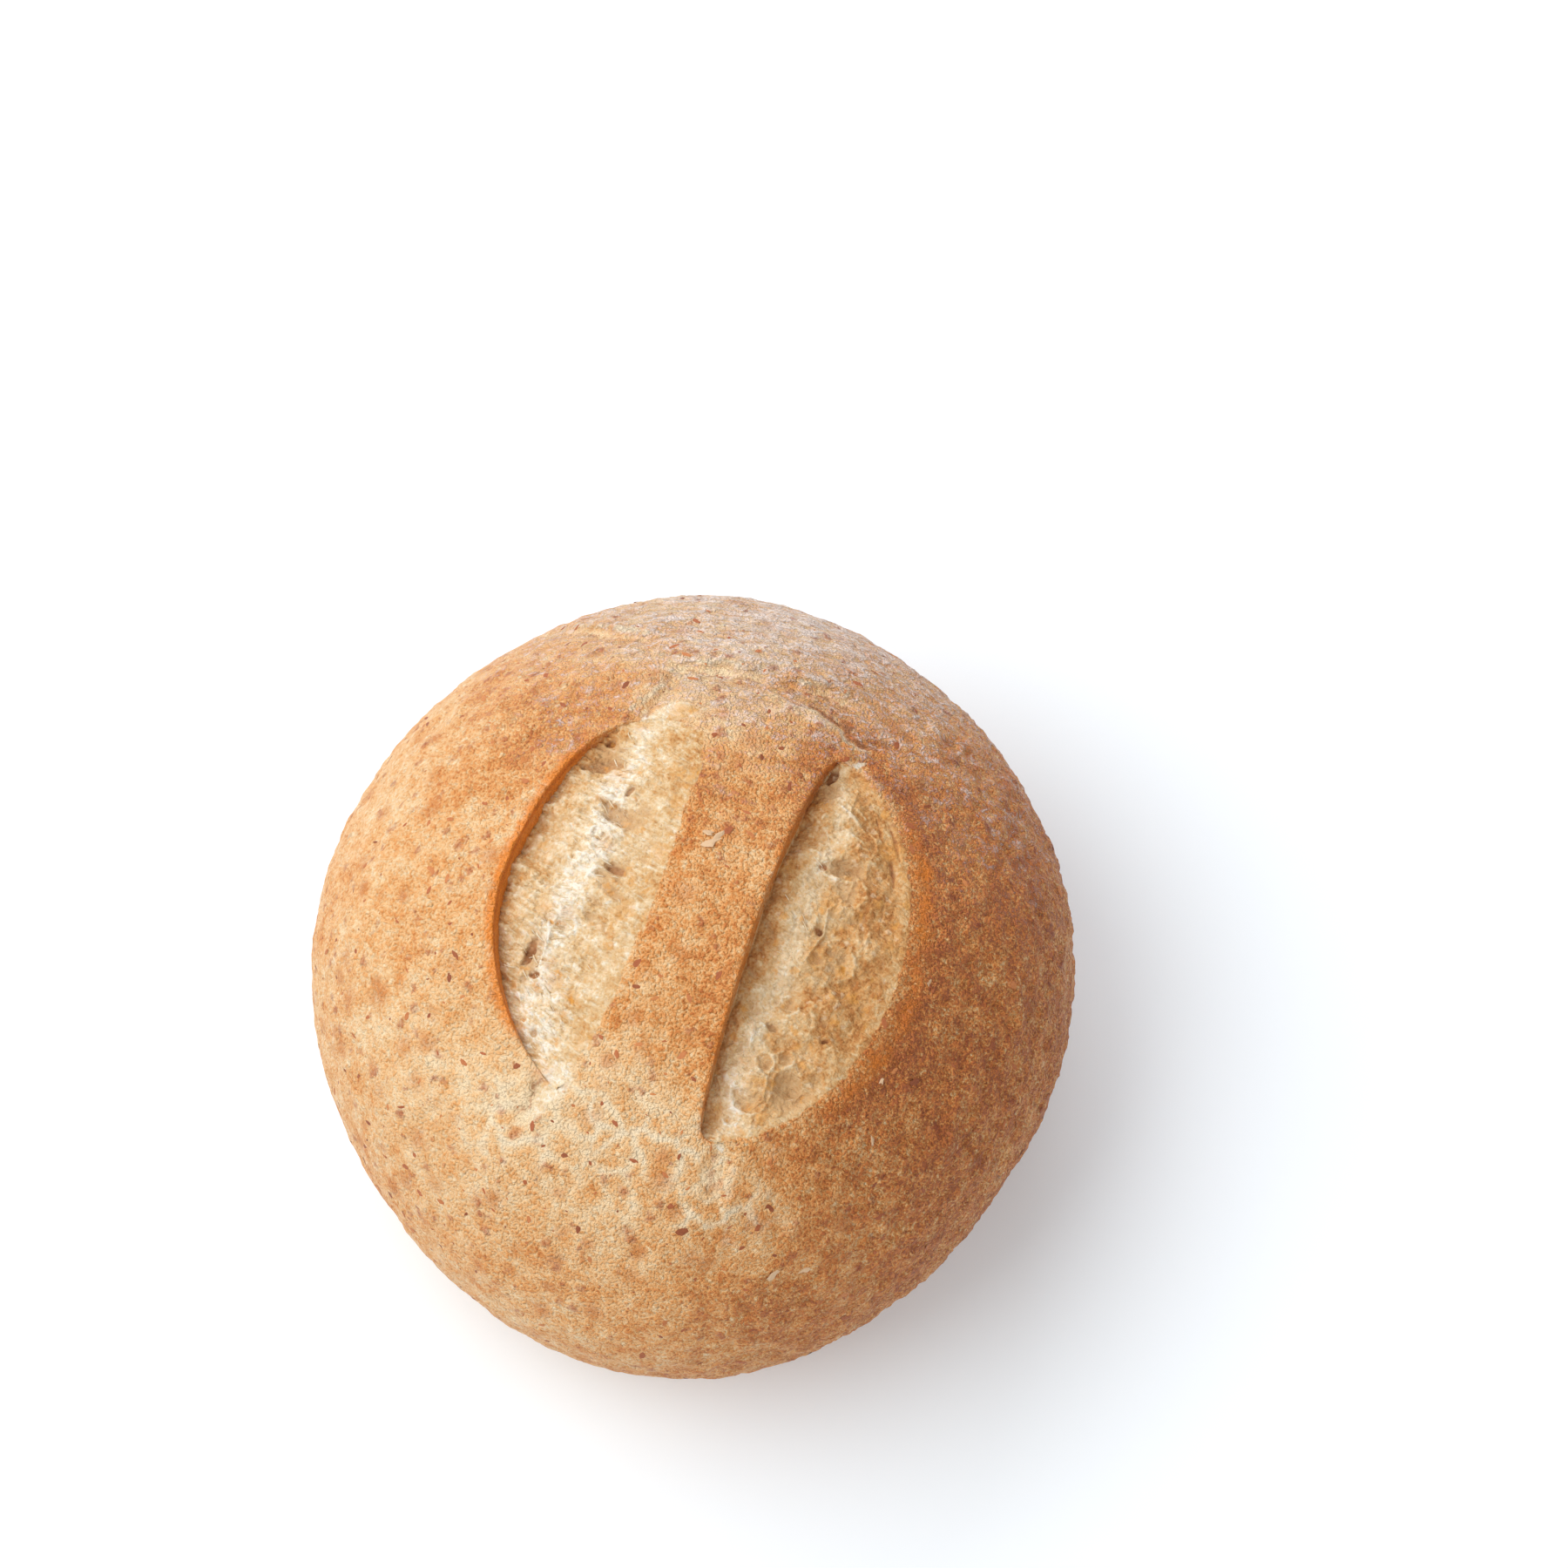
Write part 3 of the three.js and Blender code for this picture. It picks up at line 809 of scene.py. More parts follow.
def leftColours(toLip, toEdge, across, along, below, wander, quick):
    look = cutLook["left"]
    start, run = look["lipEnds"]
    ends = (1 - smooth((along - start) / run)) * (1 - 0.85 * smooth((-along - start) / run))
    share, out, grow = look["glow"]
    glow = share * smooth((toLip + out + 0.4 * quick) / grow)
    lipRim = np.maximum(glow, smooth((toLip + 0.4) / 0.4)) * (toLip < look["wall"]) * ends
    # painted shade on the lip's wall
    share, down, spread = look["shadedCore"]
    shadedCore = share * bump(below, down, spread) * (toLip > -0.5) * (toLip < look["wall"]) * ends
    edgeRim = look["edgeRim"] * bump(toEdge + 0.5 * wander, -0.8, 0.9) * smooth((0.8 - np.abs(along)) / 0.3)
    border = bump(toEdge + 0.4 * quick, -0.9, 1.0) * smooth((0.85 - np.abs(along)) / 0.2)
    mask = smooth((toEdge - 0.1 + 0.45 * wander + 0.3 * quick) / 0.9)
    tone = look["tone"] + look["nearLip"] * bump(toLip, 0.5, 2.2)
    tone = tone + look["farSide"] * smooth((across - 0.6 + 0.2 * wander) / 0.3)
    tone = tone + look["highEnd"] * smooth((along - 0.5) / 0.4)
    return lipRim, shadedCore, edgeRim, look["border"] * border, mask, tone


def rightColours(toLip, toEdge, across, along, below, wander, quick):
    look = cutLook["right"]
    lowFade = smooth((along + 0.9) / 0.4)
    lipRim = 0.5 * bump(toLip, -0.1, 0.6) + 0.5 * smooth((toLip - 0.05) / 0.2) * (toLip < 1.5)
    # painted shade on the lip's wall
    share, down, spread = look["shadedCore"]
    shadedCore = share * bump(below, down, spread) * (toLip > -0.2) * (toLip < look["wall"])
    edgeRim = (look["edgeRim"] + 0.3 * wander) * bump(toEdge + 0.5 * quick, -1.5, 1.4) * lowFade
    edgeRim = edgeRim * smooth((1 - along) / 0.3)
    around = bump(toEdge, -2.4, 2.4) - 0.9 * bump(toEdge + 0.4 * quick, -0.2, 0.6)
    border = look["border"] * around * (toEdge < 0.6) * lowFade
    mask = smooth((toEdge + 0.05 + 0.4 * quick) / 0.7)
    tone = look["tone"] + look["farSide"] * smooth((across - 0.42 + 0.2 * wander) / 0.3)
    tone = tone + look["nearLip"] * bump(toLip, 0.6, 2.4)
    tone = tone - look["edgePale"] * bump(toEdge + 0.4 * quick, 0.9, 0.6)
    tone = tone - look["lowEnd"] * smooth((-along - 0.35) / 0.5)
    return lipRim, shadedCore, edgeRim, border, mask, tone


def crustNet(x, y):  # the fine pale net where the crust stretched: its lines, its zone and the cells between
    flat = np.stack([x, y, 0 * x], 1)
    pushed = flat + 1.5 * np.stack([noise(flat, 3.0, 81), noise(flat, 3.0, 83), 0 * x], 1)
    near, second, _ = cells(pushed, 3.6, 3)
    zone = np.minimum(1.3 * sum(patch(x, y, *place) for place in netPatches), 1)
    lines = (0.15 + 0.85 * bump(second - near, 0, 0.45)) * smooth(0.75 + 1.2 * noise(flat, 5.0, 85))
    return lines, zone, smooth((second - near - 0.5) / 0.9)


def sheenAmount(x, y, z, crease, wander):  # how much painted sheen the crust gets
    frost = 0 * x
    for *place, amount in sheenPatches:
        frost = np.maximum(frost, amount * patch(x, y, *place))
    steep = smooth((sideSheen["from"] - z) / (sideSheen["from"] - sideSheen["to"])) * smooth((x - 4) / 20)
    frost = np.maximum(frost, sideSheen["amount"] * steep)
    frost = np.clip(frost * (1 - 0.75 * crease) + 0.12 * wander * (frost > 0.1), 0, 1)
    return frost * (0.3 + 0.7 * smooth((z - 10) / 24)) * smooth(z / 9)


# What the material reads at each point: how baked the crust is, its rims, where crumb shows and how toasted
# it is, painted shade in hollows, painted deep shade, painted sheen, the fine net with painted highlights, and
# painted shade lines. A slab is one cut's crumb, the rest is crust
def dress(piece, points, slab=None):
    x, y, z = points.T
    wander = layered(points, 4.0, 3, 91)
    quick = layered(points, 1.4, 2, 95)
    top = z > crownFrom
    crease = creaseShare(x, y) * top
    # painted highlight on the creases' swells and along the top of the flake's raised edge
    ridge = np.maximum(creaseShare(x, y, 1.3, 0.45), flakeEdge(x, y, -0.5, 0.4)) * top
    # painted shade lines just past the flake's raised edge and in the creases' grooves
    crack = np.maximum(0.9 * flakeEdge(x, y, 0.3, 0.32), 0.6 * creaseShare(x, y, -0.2, 0.2)) * top
    # painted shadow in a band beyond the flake's raised edge, painted highlight in a band just inside it
    flakeEdgeShading = 0.12 * flakeEdge(x, y, 1.8, 1.6) - 0.22 * flakeEdge(x, y, -0.9, 0.9)
    baked = crustBaking(points) - 0.26 * crease + flakeEdgeShading * top
    rim, crumb, toast, hollow, brown = 0 * x, 0 * x, 0.25 + 0.2 * wander, 0 * x, 0 * x
    below = np.where(top, crownHeight(x, y) + reliefHeight(x, y) - z, 0)
    torn = tearShare(x, y) * top
    for name, cut in cuts.items():
        toLip, toEdge = cutPlace(cut, x, y)
        across = np.clip(toLip / np.maximum(toLip + toEdge, 0.3), 0, 1)
        along = np.clip(cutAlong(cut, y), -1, 1)
        colours = leftColours if name == "left" else rightColours
        lipRim, shadedCore, edgeRim, border, mask, tone = colours(toLip, toEdge, across, along, below, wander, quick)
        tone = tone - cutLook[name]["pale"] * runShare(x, y, cut["pale"], 1.1 * wander + 0.5 * quick, 0.8)
        baked = baked + border * top
        if slab is cut:
            rough = crumbGrainHeight(cut, x, y) - pitDepth(x, y)
            crumb = np.maximum(mask * (toLip > 0), 0.9 * torn)
            # raised crumb painted paler: a painted highlight that follows the relief
            toast = mix(tone - 0.3 * smooth((rough - 0.1) / 0.35), tornTone, 0.7 * torn)
            toast = toast + 0.12 * wander + 0.1 * quick
            rim = np.maximum(rim, edgeRim)
            # painted shade in the crumb's hollows, and painted deep shade in its pits and clefts
            hollow = smooth((-rough + 0.02) / 0.48) * mask
            brown = markHeight(x, y)[1] * mask
        elif slab is None:
            rim = np.maximum(rim, np.maximum(lipRim, edgeRim))
            # painted shade on the lip's wall
            crack = np.maximum(crack, shadedCore)
            foot = smooth((toLip + 0.15) / 0.3) * smooth((below - cut["wallCrust"] + 0.4 * quick) / 0.7)
            crumb = np.maximum(crumb, foot)
            toast = np.where(toLip > 0, 0.85, toast)
    if slab is None:
        # painted deep shade in the clefts and along the seams under the flake's edge and beside the creases
        seams = np.maximum(flakeEdge(x, y, 0.3, 0.36), 0.8 * creaseShare(x, y, -0.4, 0.3))
        brown = np.maximum(cleftShare(x, y), 0.95 * seams * smooth(0.7 + 0.8 * quick)) * top
        crumb = np.maximum(crumb, 0.9 * torn)
        toast = np.where(torn > 0, tornTone + 0.3 * wander, toast)
        # painted shade specks in the torn crumb
        hollow = np.maximum(hollow, torn * smooth(-2.2 * layered(points, 1.3, 2, 49) - 0.35))
    lines, zone, between = crustNet(x, y)
    # the pale net of the stretched crust, together with the painted highlights along the ridges
    net = np.maximum(zone * top * lines, 0.9 * ridge * smooth(0.7 + 0.9 * quick))
    baked = baked + 0.2 * zone * top * (between - 0.4)
    frost = sheenAmount(x, y, z, crease, wander)
    paint(piece, baked=baked, rim=rim, crumb=crumb, toast=toast, hollow=hollow, brown=brown, frost=frost,
          net=net, crack=crack)


# Shader and geometry trees: a socket that takes part in sums
class Wire:
    def __init__(self, graph, socket):
        self.graph = graph
        self.socket = socket

    def sum(self, operation, other, turned=False):
        pair = (other, self) if turned else (self, other)
        return self.graph.node("ShaderNodeMath", {"operation": operation}, dict(enumerate(pair)))

    def __add__(self, other):
        return self.sum("ADD", other)

    def __radd__(self, other):
        return self.sum("ADD", other, True)

    def __sub__(self, other):
        return self.sum("SUBTRACT", other)

    def __rsub__(self, other):
        return self.sum("SUBTRACT", other, True)

    def __mul__(self, other):
        return self.sum("MULTIPLY", other)

    def __rmul__(self, other):
        return self.sum("MULTIPLY", other, True)

    def __truediv__(self, other):
        return self.sum("DIVIDE", other)

    def __rtruediv__(self, other):
        return self.sum("DIVIDE", other, True)

    def __lt__(self, other):
        return self.sum("LESS_THAN", other)

    def __gt__(self, other):
        return self.sum("GREATER_THAN", other)

    def output(self, name):
        return Wire(self.graph, self.socket.node.outputs[name])


class Graph:
    def __init__(self, tree):
        self.tree = tree

    def node(self, kind, settings=None, sockets=None, out=0):
        made = self.tree.nodes.new(kind)
        for name, value in (settings or {}).items():
            if name == "stops":
                ramp = made.color_ramp
                while len(ramp.elements) < len(value):
                    ramp.elements.new(1)
                for stop, (place, colour) in zip(ramp.elements, value):
                    stop.position = place
                    stop.color = (*colour, 1)
            else:
                setattr(made, name, value)
        for name, value in (sockets or {}).items():
            if isinstance(value, Wire):
                self.tree.links.new(value.socket, made.inputs[name])
            else:
                made.inputs[name].default_value = value
        return Wire(self, made.outputs[out]) if len(made.outputs) else made

    def blend(self, share, first, second, mode="MIX"):
        colours = {0: share}
        for number, colour in ((6, first), (7, second)):
            colours[number] = colour if isinstance(colour, Wire) else (*colour, 1)
        return self.node("ShaderNodeMix", {"data_type": "RGBA", "blend_type": mode}, colours, 2)

    def value(self, name):
        return self.node("ShaderNodeAttribute", {"attribute_name": name}, {}, "Fac")

    def ease(self, value, low, high):  # smooth step from 0 at low to 1 at high
        return self.node("ShaderNodeMapRange", {"interpolation_type": "SMOOTHSTEP"},
                         {"Value": value, "From Min": low, "From Max": high})

    def waves(self, place, size, detail=2.0, rough=0.5, bend=0.0):  # soft noise, size in millimetres
        return self.node("ShaderNodeTexNoise", {},
                         {"Vector": place, "Scale": 1 / size, "Detail": detail, "Roughness": rough,
                          "Distortion": bend}, "Fac")

    def shift(self, place, other, amount):  # moves a pattern's place by a colour of soft noise
        return self.node("ShaderNodeVectorMath", {"operation": "MULTIPLY_ADD"},
                         {0: other, 1: (amount,) * 3, 2: place}, 0)

    def chance(self, least, most, seed):  # a random number for each piece that is strewn
        return self.node("FunctionNodeRandomValue", {"data_type": "FLOAT"},
                         {2: least, 3: most, "Seed": seed}, 1)

    def stretched(self, place, heading, share):  # a pattern's place, drawn out along a heading in degrees
        rotation = (0, 0, math.radians(-heading))
        turned = self.node("ShaderNodeMapping", {}, {"Vector": place, "Rotation": rotation})
        return self.node("ShaderNodeMapping", {}, {"Vector": turned, "Scale": (share, 1, 1)})

    def spots(self, place, size):  # distance to the nearest of many seed points, size apart
        return self.node("ShaderNodeTexVoronoi", {"feature": "F1"}, {"Vector": place, "Scale": 1 / size}, 0)


def newMaterial(name):
    material = bpy.data.materials.new(name)
    material.use_nodes = True
    material.node_tree.nodes.clear()
    return material, Graph(material.node_tree)


# Colours of the bread, the ramps from pale to dark
breadLook = {
    "crust": [(0.0, (0.87, 0.67, 0.42)), (0.28, (0.815, 0.50, 0.235)), (0.5, (0.74, 0.335, 0.1)),
              (0.7, (0.60, 0.192, 0.038)), (0.87, (0.475, 0.138, 0.032)), (1.0, (0.36, 0.1, 0.028))],
    "crumb": [(0.0, (0.87, 0.80, 0.68)), (0.25, (0.78, 0.62, 0.41)), (0.55, (0.68, 0.455, 0.23)),
              (0.8, (0.60, 0.315, 0.115)), (1.0, (0.46, 0.19, 0.055))],
    # the rims' own caramelised orange, painted brighter than it is to stand for light glowing through the thin
    # lip
    "rim": (0.82, 0.235, 0.015),
    "bran": (0.58, 0.19, 0.038),
    "redBran": (0.43, 0.11, 0.034),
    "darkBran": (0.29, 0.055, 0.016),
    "pale": (0.86, 0.69, 0.47),
    # painted shade of the crumb's hollows
    "hollow": (0.60, 0.38, 0.19),
    # painted deep shade in pits, clefts and seams
    "brown": (0.36, 0.14, 0.05),
    # painted sheen: the pale pinkish grazing reflection on the top and back
    "frost": (0.90, 0.77, 0.70),
    # the pale net's colour, also used for painted highlights on ridges
    "net": (0.87, 0.72, 0.50),
    # painted shade lines on the lip walls, under the flake's edge and in the creases
    "crack": (0.60, 0.145, 0.012),
    "crumbSpot": (0.70, 0.33, 0.075),
}


# The values painted on the points, which the bread's material reads
paintedValues = ("baked", "rim", "crumb", "toast", "hollow", "brown", "frost", "net", "crack")
# Sizes of the bread's patterns, millimetres apart
patternSize = {"clouds": 10.0, "mottle": 2.6, "grain": 0.62, "pin": 0.32, "folds": 1.1, "curls": 1.5,
               "threads": 0.6, "dots": 1.05, "blots": 4.4, "flecks": 2.3}


def specks(g, place, size, ragged, least, more, skipped):  # ragged spots of mixed sizes, some of them skipped
    near = g.spots(place, size)
    name = g.node("ShaderNodeSeparateColor", {}, {0: near.output("Color")})
    return g.ease(near + ragged, least + more * name.output("Green"), 0.1) * (name > skipped)


def breadPatterns(g):  # what crust and crumb share
    p = SimpleNamespace(**{name: g.value(name) for name in paintedValues})
    size = patternSize
    place = g.node("ShaderNodeTexCoord", {}, {}, "Object")
    place = g.node("ShaderNodeMapping", {}, {"Vector": place, "Scale": (1000, 1000, 1000)})
    warp = g.node("ShaderNodeTexNoise", {}, {"Vector": place, "Scale": 1.1, "Detail": 2.0}, "Color")
    bent = g.shift(place, warp, 1.3)
    p.place = place

    p.clouds = g.waves(place, size["clouds"], 3.0, 0.55) - 0.5
    p.mottle = g.waves(place, size["mottle"], 3.0, 0.6) - 0.5
    p.grain = g.waves(place, size["grain"], 2.0, 0.65) - 0.5
    p.pin = g.waves(place, size["pin"], 1.0, 0.5) - 0.5
    p.folds = g.waves(g.stretched(place, 18, 0.3), size["folds"], 3.0, 0.55, 0.5) - 0.5
    p.threads = g.waves(g.stretched(place, -18, 0.3), size["threads"], 3.0, 0.6, 0.6) - 0.5
    curl = g.waves(g.shift(place, warp, 2.4), size["curls"], 2.0, 0.5) - 0.5
    p.curl = curl * curl  # 0 along the curled lines
    # painted highlight: pale lines along the crests of the curled wrinkles where the crust is browner
    p.ridge = g.ease(p.curl, 0.0016, 0.0) * g.ease(p.baked + 0.8 * p.mottle, 0.45, 0.75)

    dots = g.spots(bent, size["dots"])
    dotName = g.node("ShaderNodeSeparateColor", {}, {0: dots.output("Color")})
    p.dot = g.ease(dots, 0.42, 0.18) * (dotName > 0.68)
    p.blot = specks(g, bent, size["blots"], 0.5 * p.grain, 0.26, 0.26, 0.15)
    p.fleck = specks(g, g.shift(place, warp, 1.9), size["flecks"], 0.3 * p.grain, 0.2, 0.24, 0.32)
    return p


def crustColour(g, p):
    look = breadLook
    tone = p.baked + 0.4 * p.clouds + 0.78 * p.mottle
    tone = tone + (0.55 + 1.1 * p.baked) * (0.65 * p.grain + 0.75 * p.pin)
    tone = tone - 0.2 * p.dot - 0.22 * p.ridge
    colour = g.node("ShaderNodeValToRGB", {"stops": look["crust"]}, {0: tone})
    # painted sheen, broken up by the grain and the folds
    sheenShare = 0.72 * p.frost + 1.7 * p.grain + 0.8 * p.mottle + 1.2 * p.pin + 1.6 * p.folds
    sheenShare = g.ease(sheenShare, 0.1, 1.1) * g.ease(p.frost, 0.0, 0.3)
    colour = g.blend(0.92 * sheenShare, colour, look["frost"])

    deep = g.ease(p.baked, 0.5, 0.75)  # the bran is darker where the crust is browner
    bran = g.blend(0.6 * deep, look["bran"], look["darkBran"])
    redBran = g.blend(deep, look["redBran"], look["darkBran"])
    colour = g.blend((0.6 - 0.3 * p.frost + 1.4 * p.grain) * p.blot, colour, bran)
    colour = g.blend((0.65 + 1.4 * p.grain) * p.fleck, colour, redBran)
    colour = g.blend(0.85 * g.ease(p.net + 0.6 * p.grain, 0.15, 0.95), colour, look["net"])
    colour = g.blend(0.85 * g.ease(p.rim + 0.5 * p.mottle + 0.5 * p.grain, 0.08, 0.95), colour, look["rim"])
    # painted shade lines
    colour = g.blend(0.8 * g.ease(p.crack + 0.4 * p.grain, 0.25, 0.9), colour, look["crack"])
    # painted deep shade
    return g.blend(0.85 * g.ease(p.brown + 0.4 * p.grain, 0.2, 0.9), colour, look["brown"])


def crustShader(g, p):
    wrinkle = g.ease(p.curl, 0.0022, 0.0) * g.ease(p.frost, 0.05, 0.6)
    folds = p.folds * g.ease(p.frost, 0.15, 0.7)
    height = (0.1 + 1.7 * p.baked) * p.grain + 1.3 * p.pin + 0.3 * p.dot + 0.25 * p.fleck
    height = height + 0.35 * wrinkle + 4.5 * folds + 0.6 * p.ridge
    relief = g.node("ShaderNodeBump", {}, {"Strength": 0.9, "Distance": 0.0005, "Height": height})
    return g.node("ShaderNodeBsdfPrincipled", {},
                  {"Base Color": crustColour(g, p), "Roughness": 0.56 + 0.3 * p.mottle, "Normal": relief,
                   "Specular IOR Level": 0.4})


def crumbColour(g, p):
    look = breadLook
    across = g.node("ShaderNodeSeparateXYZ", {}, {0: p.place}, 0)
    fibrous = g.ease(across, 6.0, 2.0)  # 1 at the left cut, 0 at the right one, whose threads show less
    tone = p.toast + 0.6 * p.mottle + (0.3 + 0.5 * fibrous) * p.threads + 0.65 * p.grain + 0.5 * p.pin
    colour = g.node("ShaderNodeValToRGB", {"stops": look["crumb"]}, {0: tone})
    # painted shade in the crumb's hollows
    sunkShade = g.ease(p.hollow + 0.6 * p.grain + 0.5 * p.threads, 0.1, 0.95)
    colour = g.blend(0.68 * sunkShade, colour, look["hollow"])
    # painted deep shade in pits and clefts
    colour = g.blend(0.85 * g.ease(p.brown + 0.4 * p.grain, 0.2, 0.9), colour, look["brown"])
    colour = g.blend(0.4 * p.dot, colour, look["pale"])
    return g.blend(0.6 * p.fleck + 0.45 * p.blot, colour, look["crumbSpot"])


def crumbShader(g, p):
    height = 0.8 * p.grain + 0.5 * p.pin + 1.2 * p.threads
    relief = g.node("ShaderNodeBump", {}, {"Strength": 0.8, "Distance": 0.0004, "Height": height})
    return g.node("ShaderNodeBsdfPrincipled", {"subsurface_method": "RANDOM_WALK"},
                  {"Base Color": crumbColour(g, p), "Roughness": 0.85, "Normal": relief,
                   "Specular IOR Level": 0.25, "Subsurface Weight": 0.12, "Subsurface Scale": 0.0012,
                   "Subsurface Radius": (1.0, 0.6, 0.35)})


def breadMaterial():
    material, g = newMaterial("bread")
    p = breadPatterns(g)
    mask = g.ease(p.crumb + 0.55 * p.mottle + 0.5 * p.grain, 0.28, 0.72)
    both = g.node("ShaderNodeMixShader", {}, {0: mask, 1: crustShader(g, p), 2: crumbShader(g, p)})
    g.node("ShaderNodeOutputMaterial", {}, {"Surface": both})
    return material


def finishPiece(piece, material, soft=True):
    piece.data.materials.clear()
    piece.data.materials.append(material)
    if soft:
        piece.data.shade_smooth()
    else:
        piece.data.shade_flat()
    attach(piece, "root")


# Bran flakes, pale husks and crumb strands: small thin shapes scattered over the crust and the crumb
scattered = {
    "bran_flakes": {"spacing": 2.4, "smallest": 0.18, "largest": 0.8, "flat": 0.1, "tilt": 4, "seed": 5,
                    "colours": [(0.0, (0.58, 0.22, 0.07)), (0.5, (0.42, 0.12, 0.04)),
                                (1.0, (0.26, 0.07, 0.025))]},
    "husks": {"spacing": 1.7, "smallest": 0.3, "largest": 1.2, "flat": 0.08, "tilt": 8, "seed": 8,
              "colours": [(0.0, (0.68, 0.47, 0.29)), (1.0, (0.56, 0.32, 0.15))]},
    "crumb_strands": {"spacing": 0.8, "smallest": 0.7, "largest": 1.9, "flat": 1.0, "tilt": 14, "seed": 3,
                      "colours": [(0.0, (0.86, 0.78, 0.61)), (1.0, (0.78, 0.62, 0.40))]},
}
flakeForm = {"sides": 8, "wide": 0.55, "inner": 0.6, "top": 0.3, "under": -0.5}
strandForm = {"steps": 6, "thick": 0.045, "arch": 0.1}
huskShare = 0.01
# The larger husks that stand out: place, half length, heading, tilt
laidHusks = [
    (1.1, 5.2, 1.4, 20, 16), (1.7, 6.1, 1.0, 60, -20), (0.5, 6.2, 0.8, -10, 18), (28.0, -20.0, 0.8, 65, 20),
    (27.2, -13.6, 0.6, 20, -20), (21.6, -36.6, 1.3, 30, 14), (24.6, -34.7, 0.9, 5, -16),
]


def chip(seed, least=0.7):  # a thin irregular chip, one unit long each way
    random = np.random.default_rng(seed)
    turn = np.arange(flakeForm["sides"]) / flakeForm["sides"] * 2 * math.pi
    radius = random.uniform(least, 1.15, flakeForm["sides"])
    ring = np.stack([np.cos(turn), flakeForm["wide"] * np.sin(turn), 0 * turn], 1) * radius[:, None]
    inner = ring * flakeForm["inner"] + (0, 0, flakeForm["top"])
    points = [(0, 0, flakeForm["under"]), *ring, *inner, (0.08, 0.05, flakeForm["top"] * 1.2)]
    count = flakeForm["sides"]
    faces = ringBand(1, count, 1 + count, count)
    for k in range(count):
        after = (k + 1) % count
        faces.append((0, 1 + after, 1 + k))
        faces.append((len(points) - 1, 1 + count + k, 1 + count + after))
    return np.array(points), np.array(faces)


def layHusks():  # each of the larger husks, lying on the crust
    allPoints, allFaces = [], []
    for number, (x, y, long, heading, tilt) in enumerate(laidHusks):
        points, faces = chip(40 + number, 0.4)
        spots = np.array([[x, y, 0], [x + 0.6, y, 0], [x, y + 0.6, 0]], float)
        spots[:, 2] = crownHeight(spots[:, 0], spots[:, 1]) + reliefHeight(spots[:, 0], spots[:, 1])
        lean = Matrix.Rotation(math.radians(heading), 3, "Z") @ Matrix.Rotation(math.radians(tilt), 3, "X")
        normal = np.cross(spots[1] - spots[0], spots[2] - spots[0])
        stand = Vector(normal).to_track_quat("Z", "Y").to_matrix()
        turned = np.array(stand @ lean) @ (points * (long, long, 0.25)).T
        allFaces.append(faces + sum(map(len, allPoints)))
        allPoints.append(turned.T + spots[0] + (0, 0, crustGrainHeight(spots)[0] + 0.08))
    return np.concatenate(allPoints), np.concatenate(allFaces)


def strandMesh(name):  # a thin arched thread, one unit long, pointed at both ends
    run = np.linspace(-0.5, 0.5, strandForm["steps"] + 1)
    loops = []
    for along in run:
        thick = strandForm["thick"] * (1.05 - (2 * along) ** 4)
        rise = strandForm["arch"] * (1 - 4 * along ** 2)
        turn = np.arange(3) / 3 * 2 * math.pi
        loops.append(np.stack([along + 0 * turn, thick * np.cos(turn), rise + thick * np.sin(turn)], 1))
    loops = np.array(loops)
    return meshOf(name, loops.reshape(-1, 3), loftFaces(len(loops), 3))


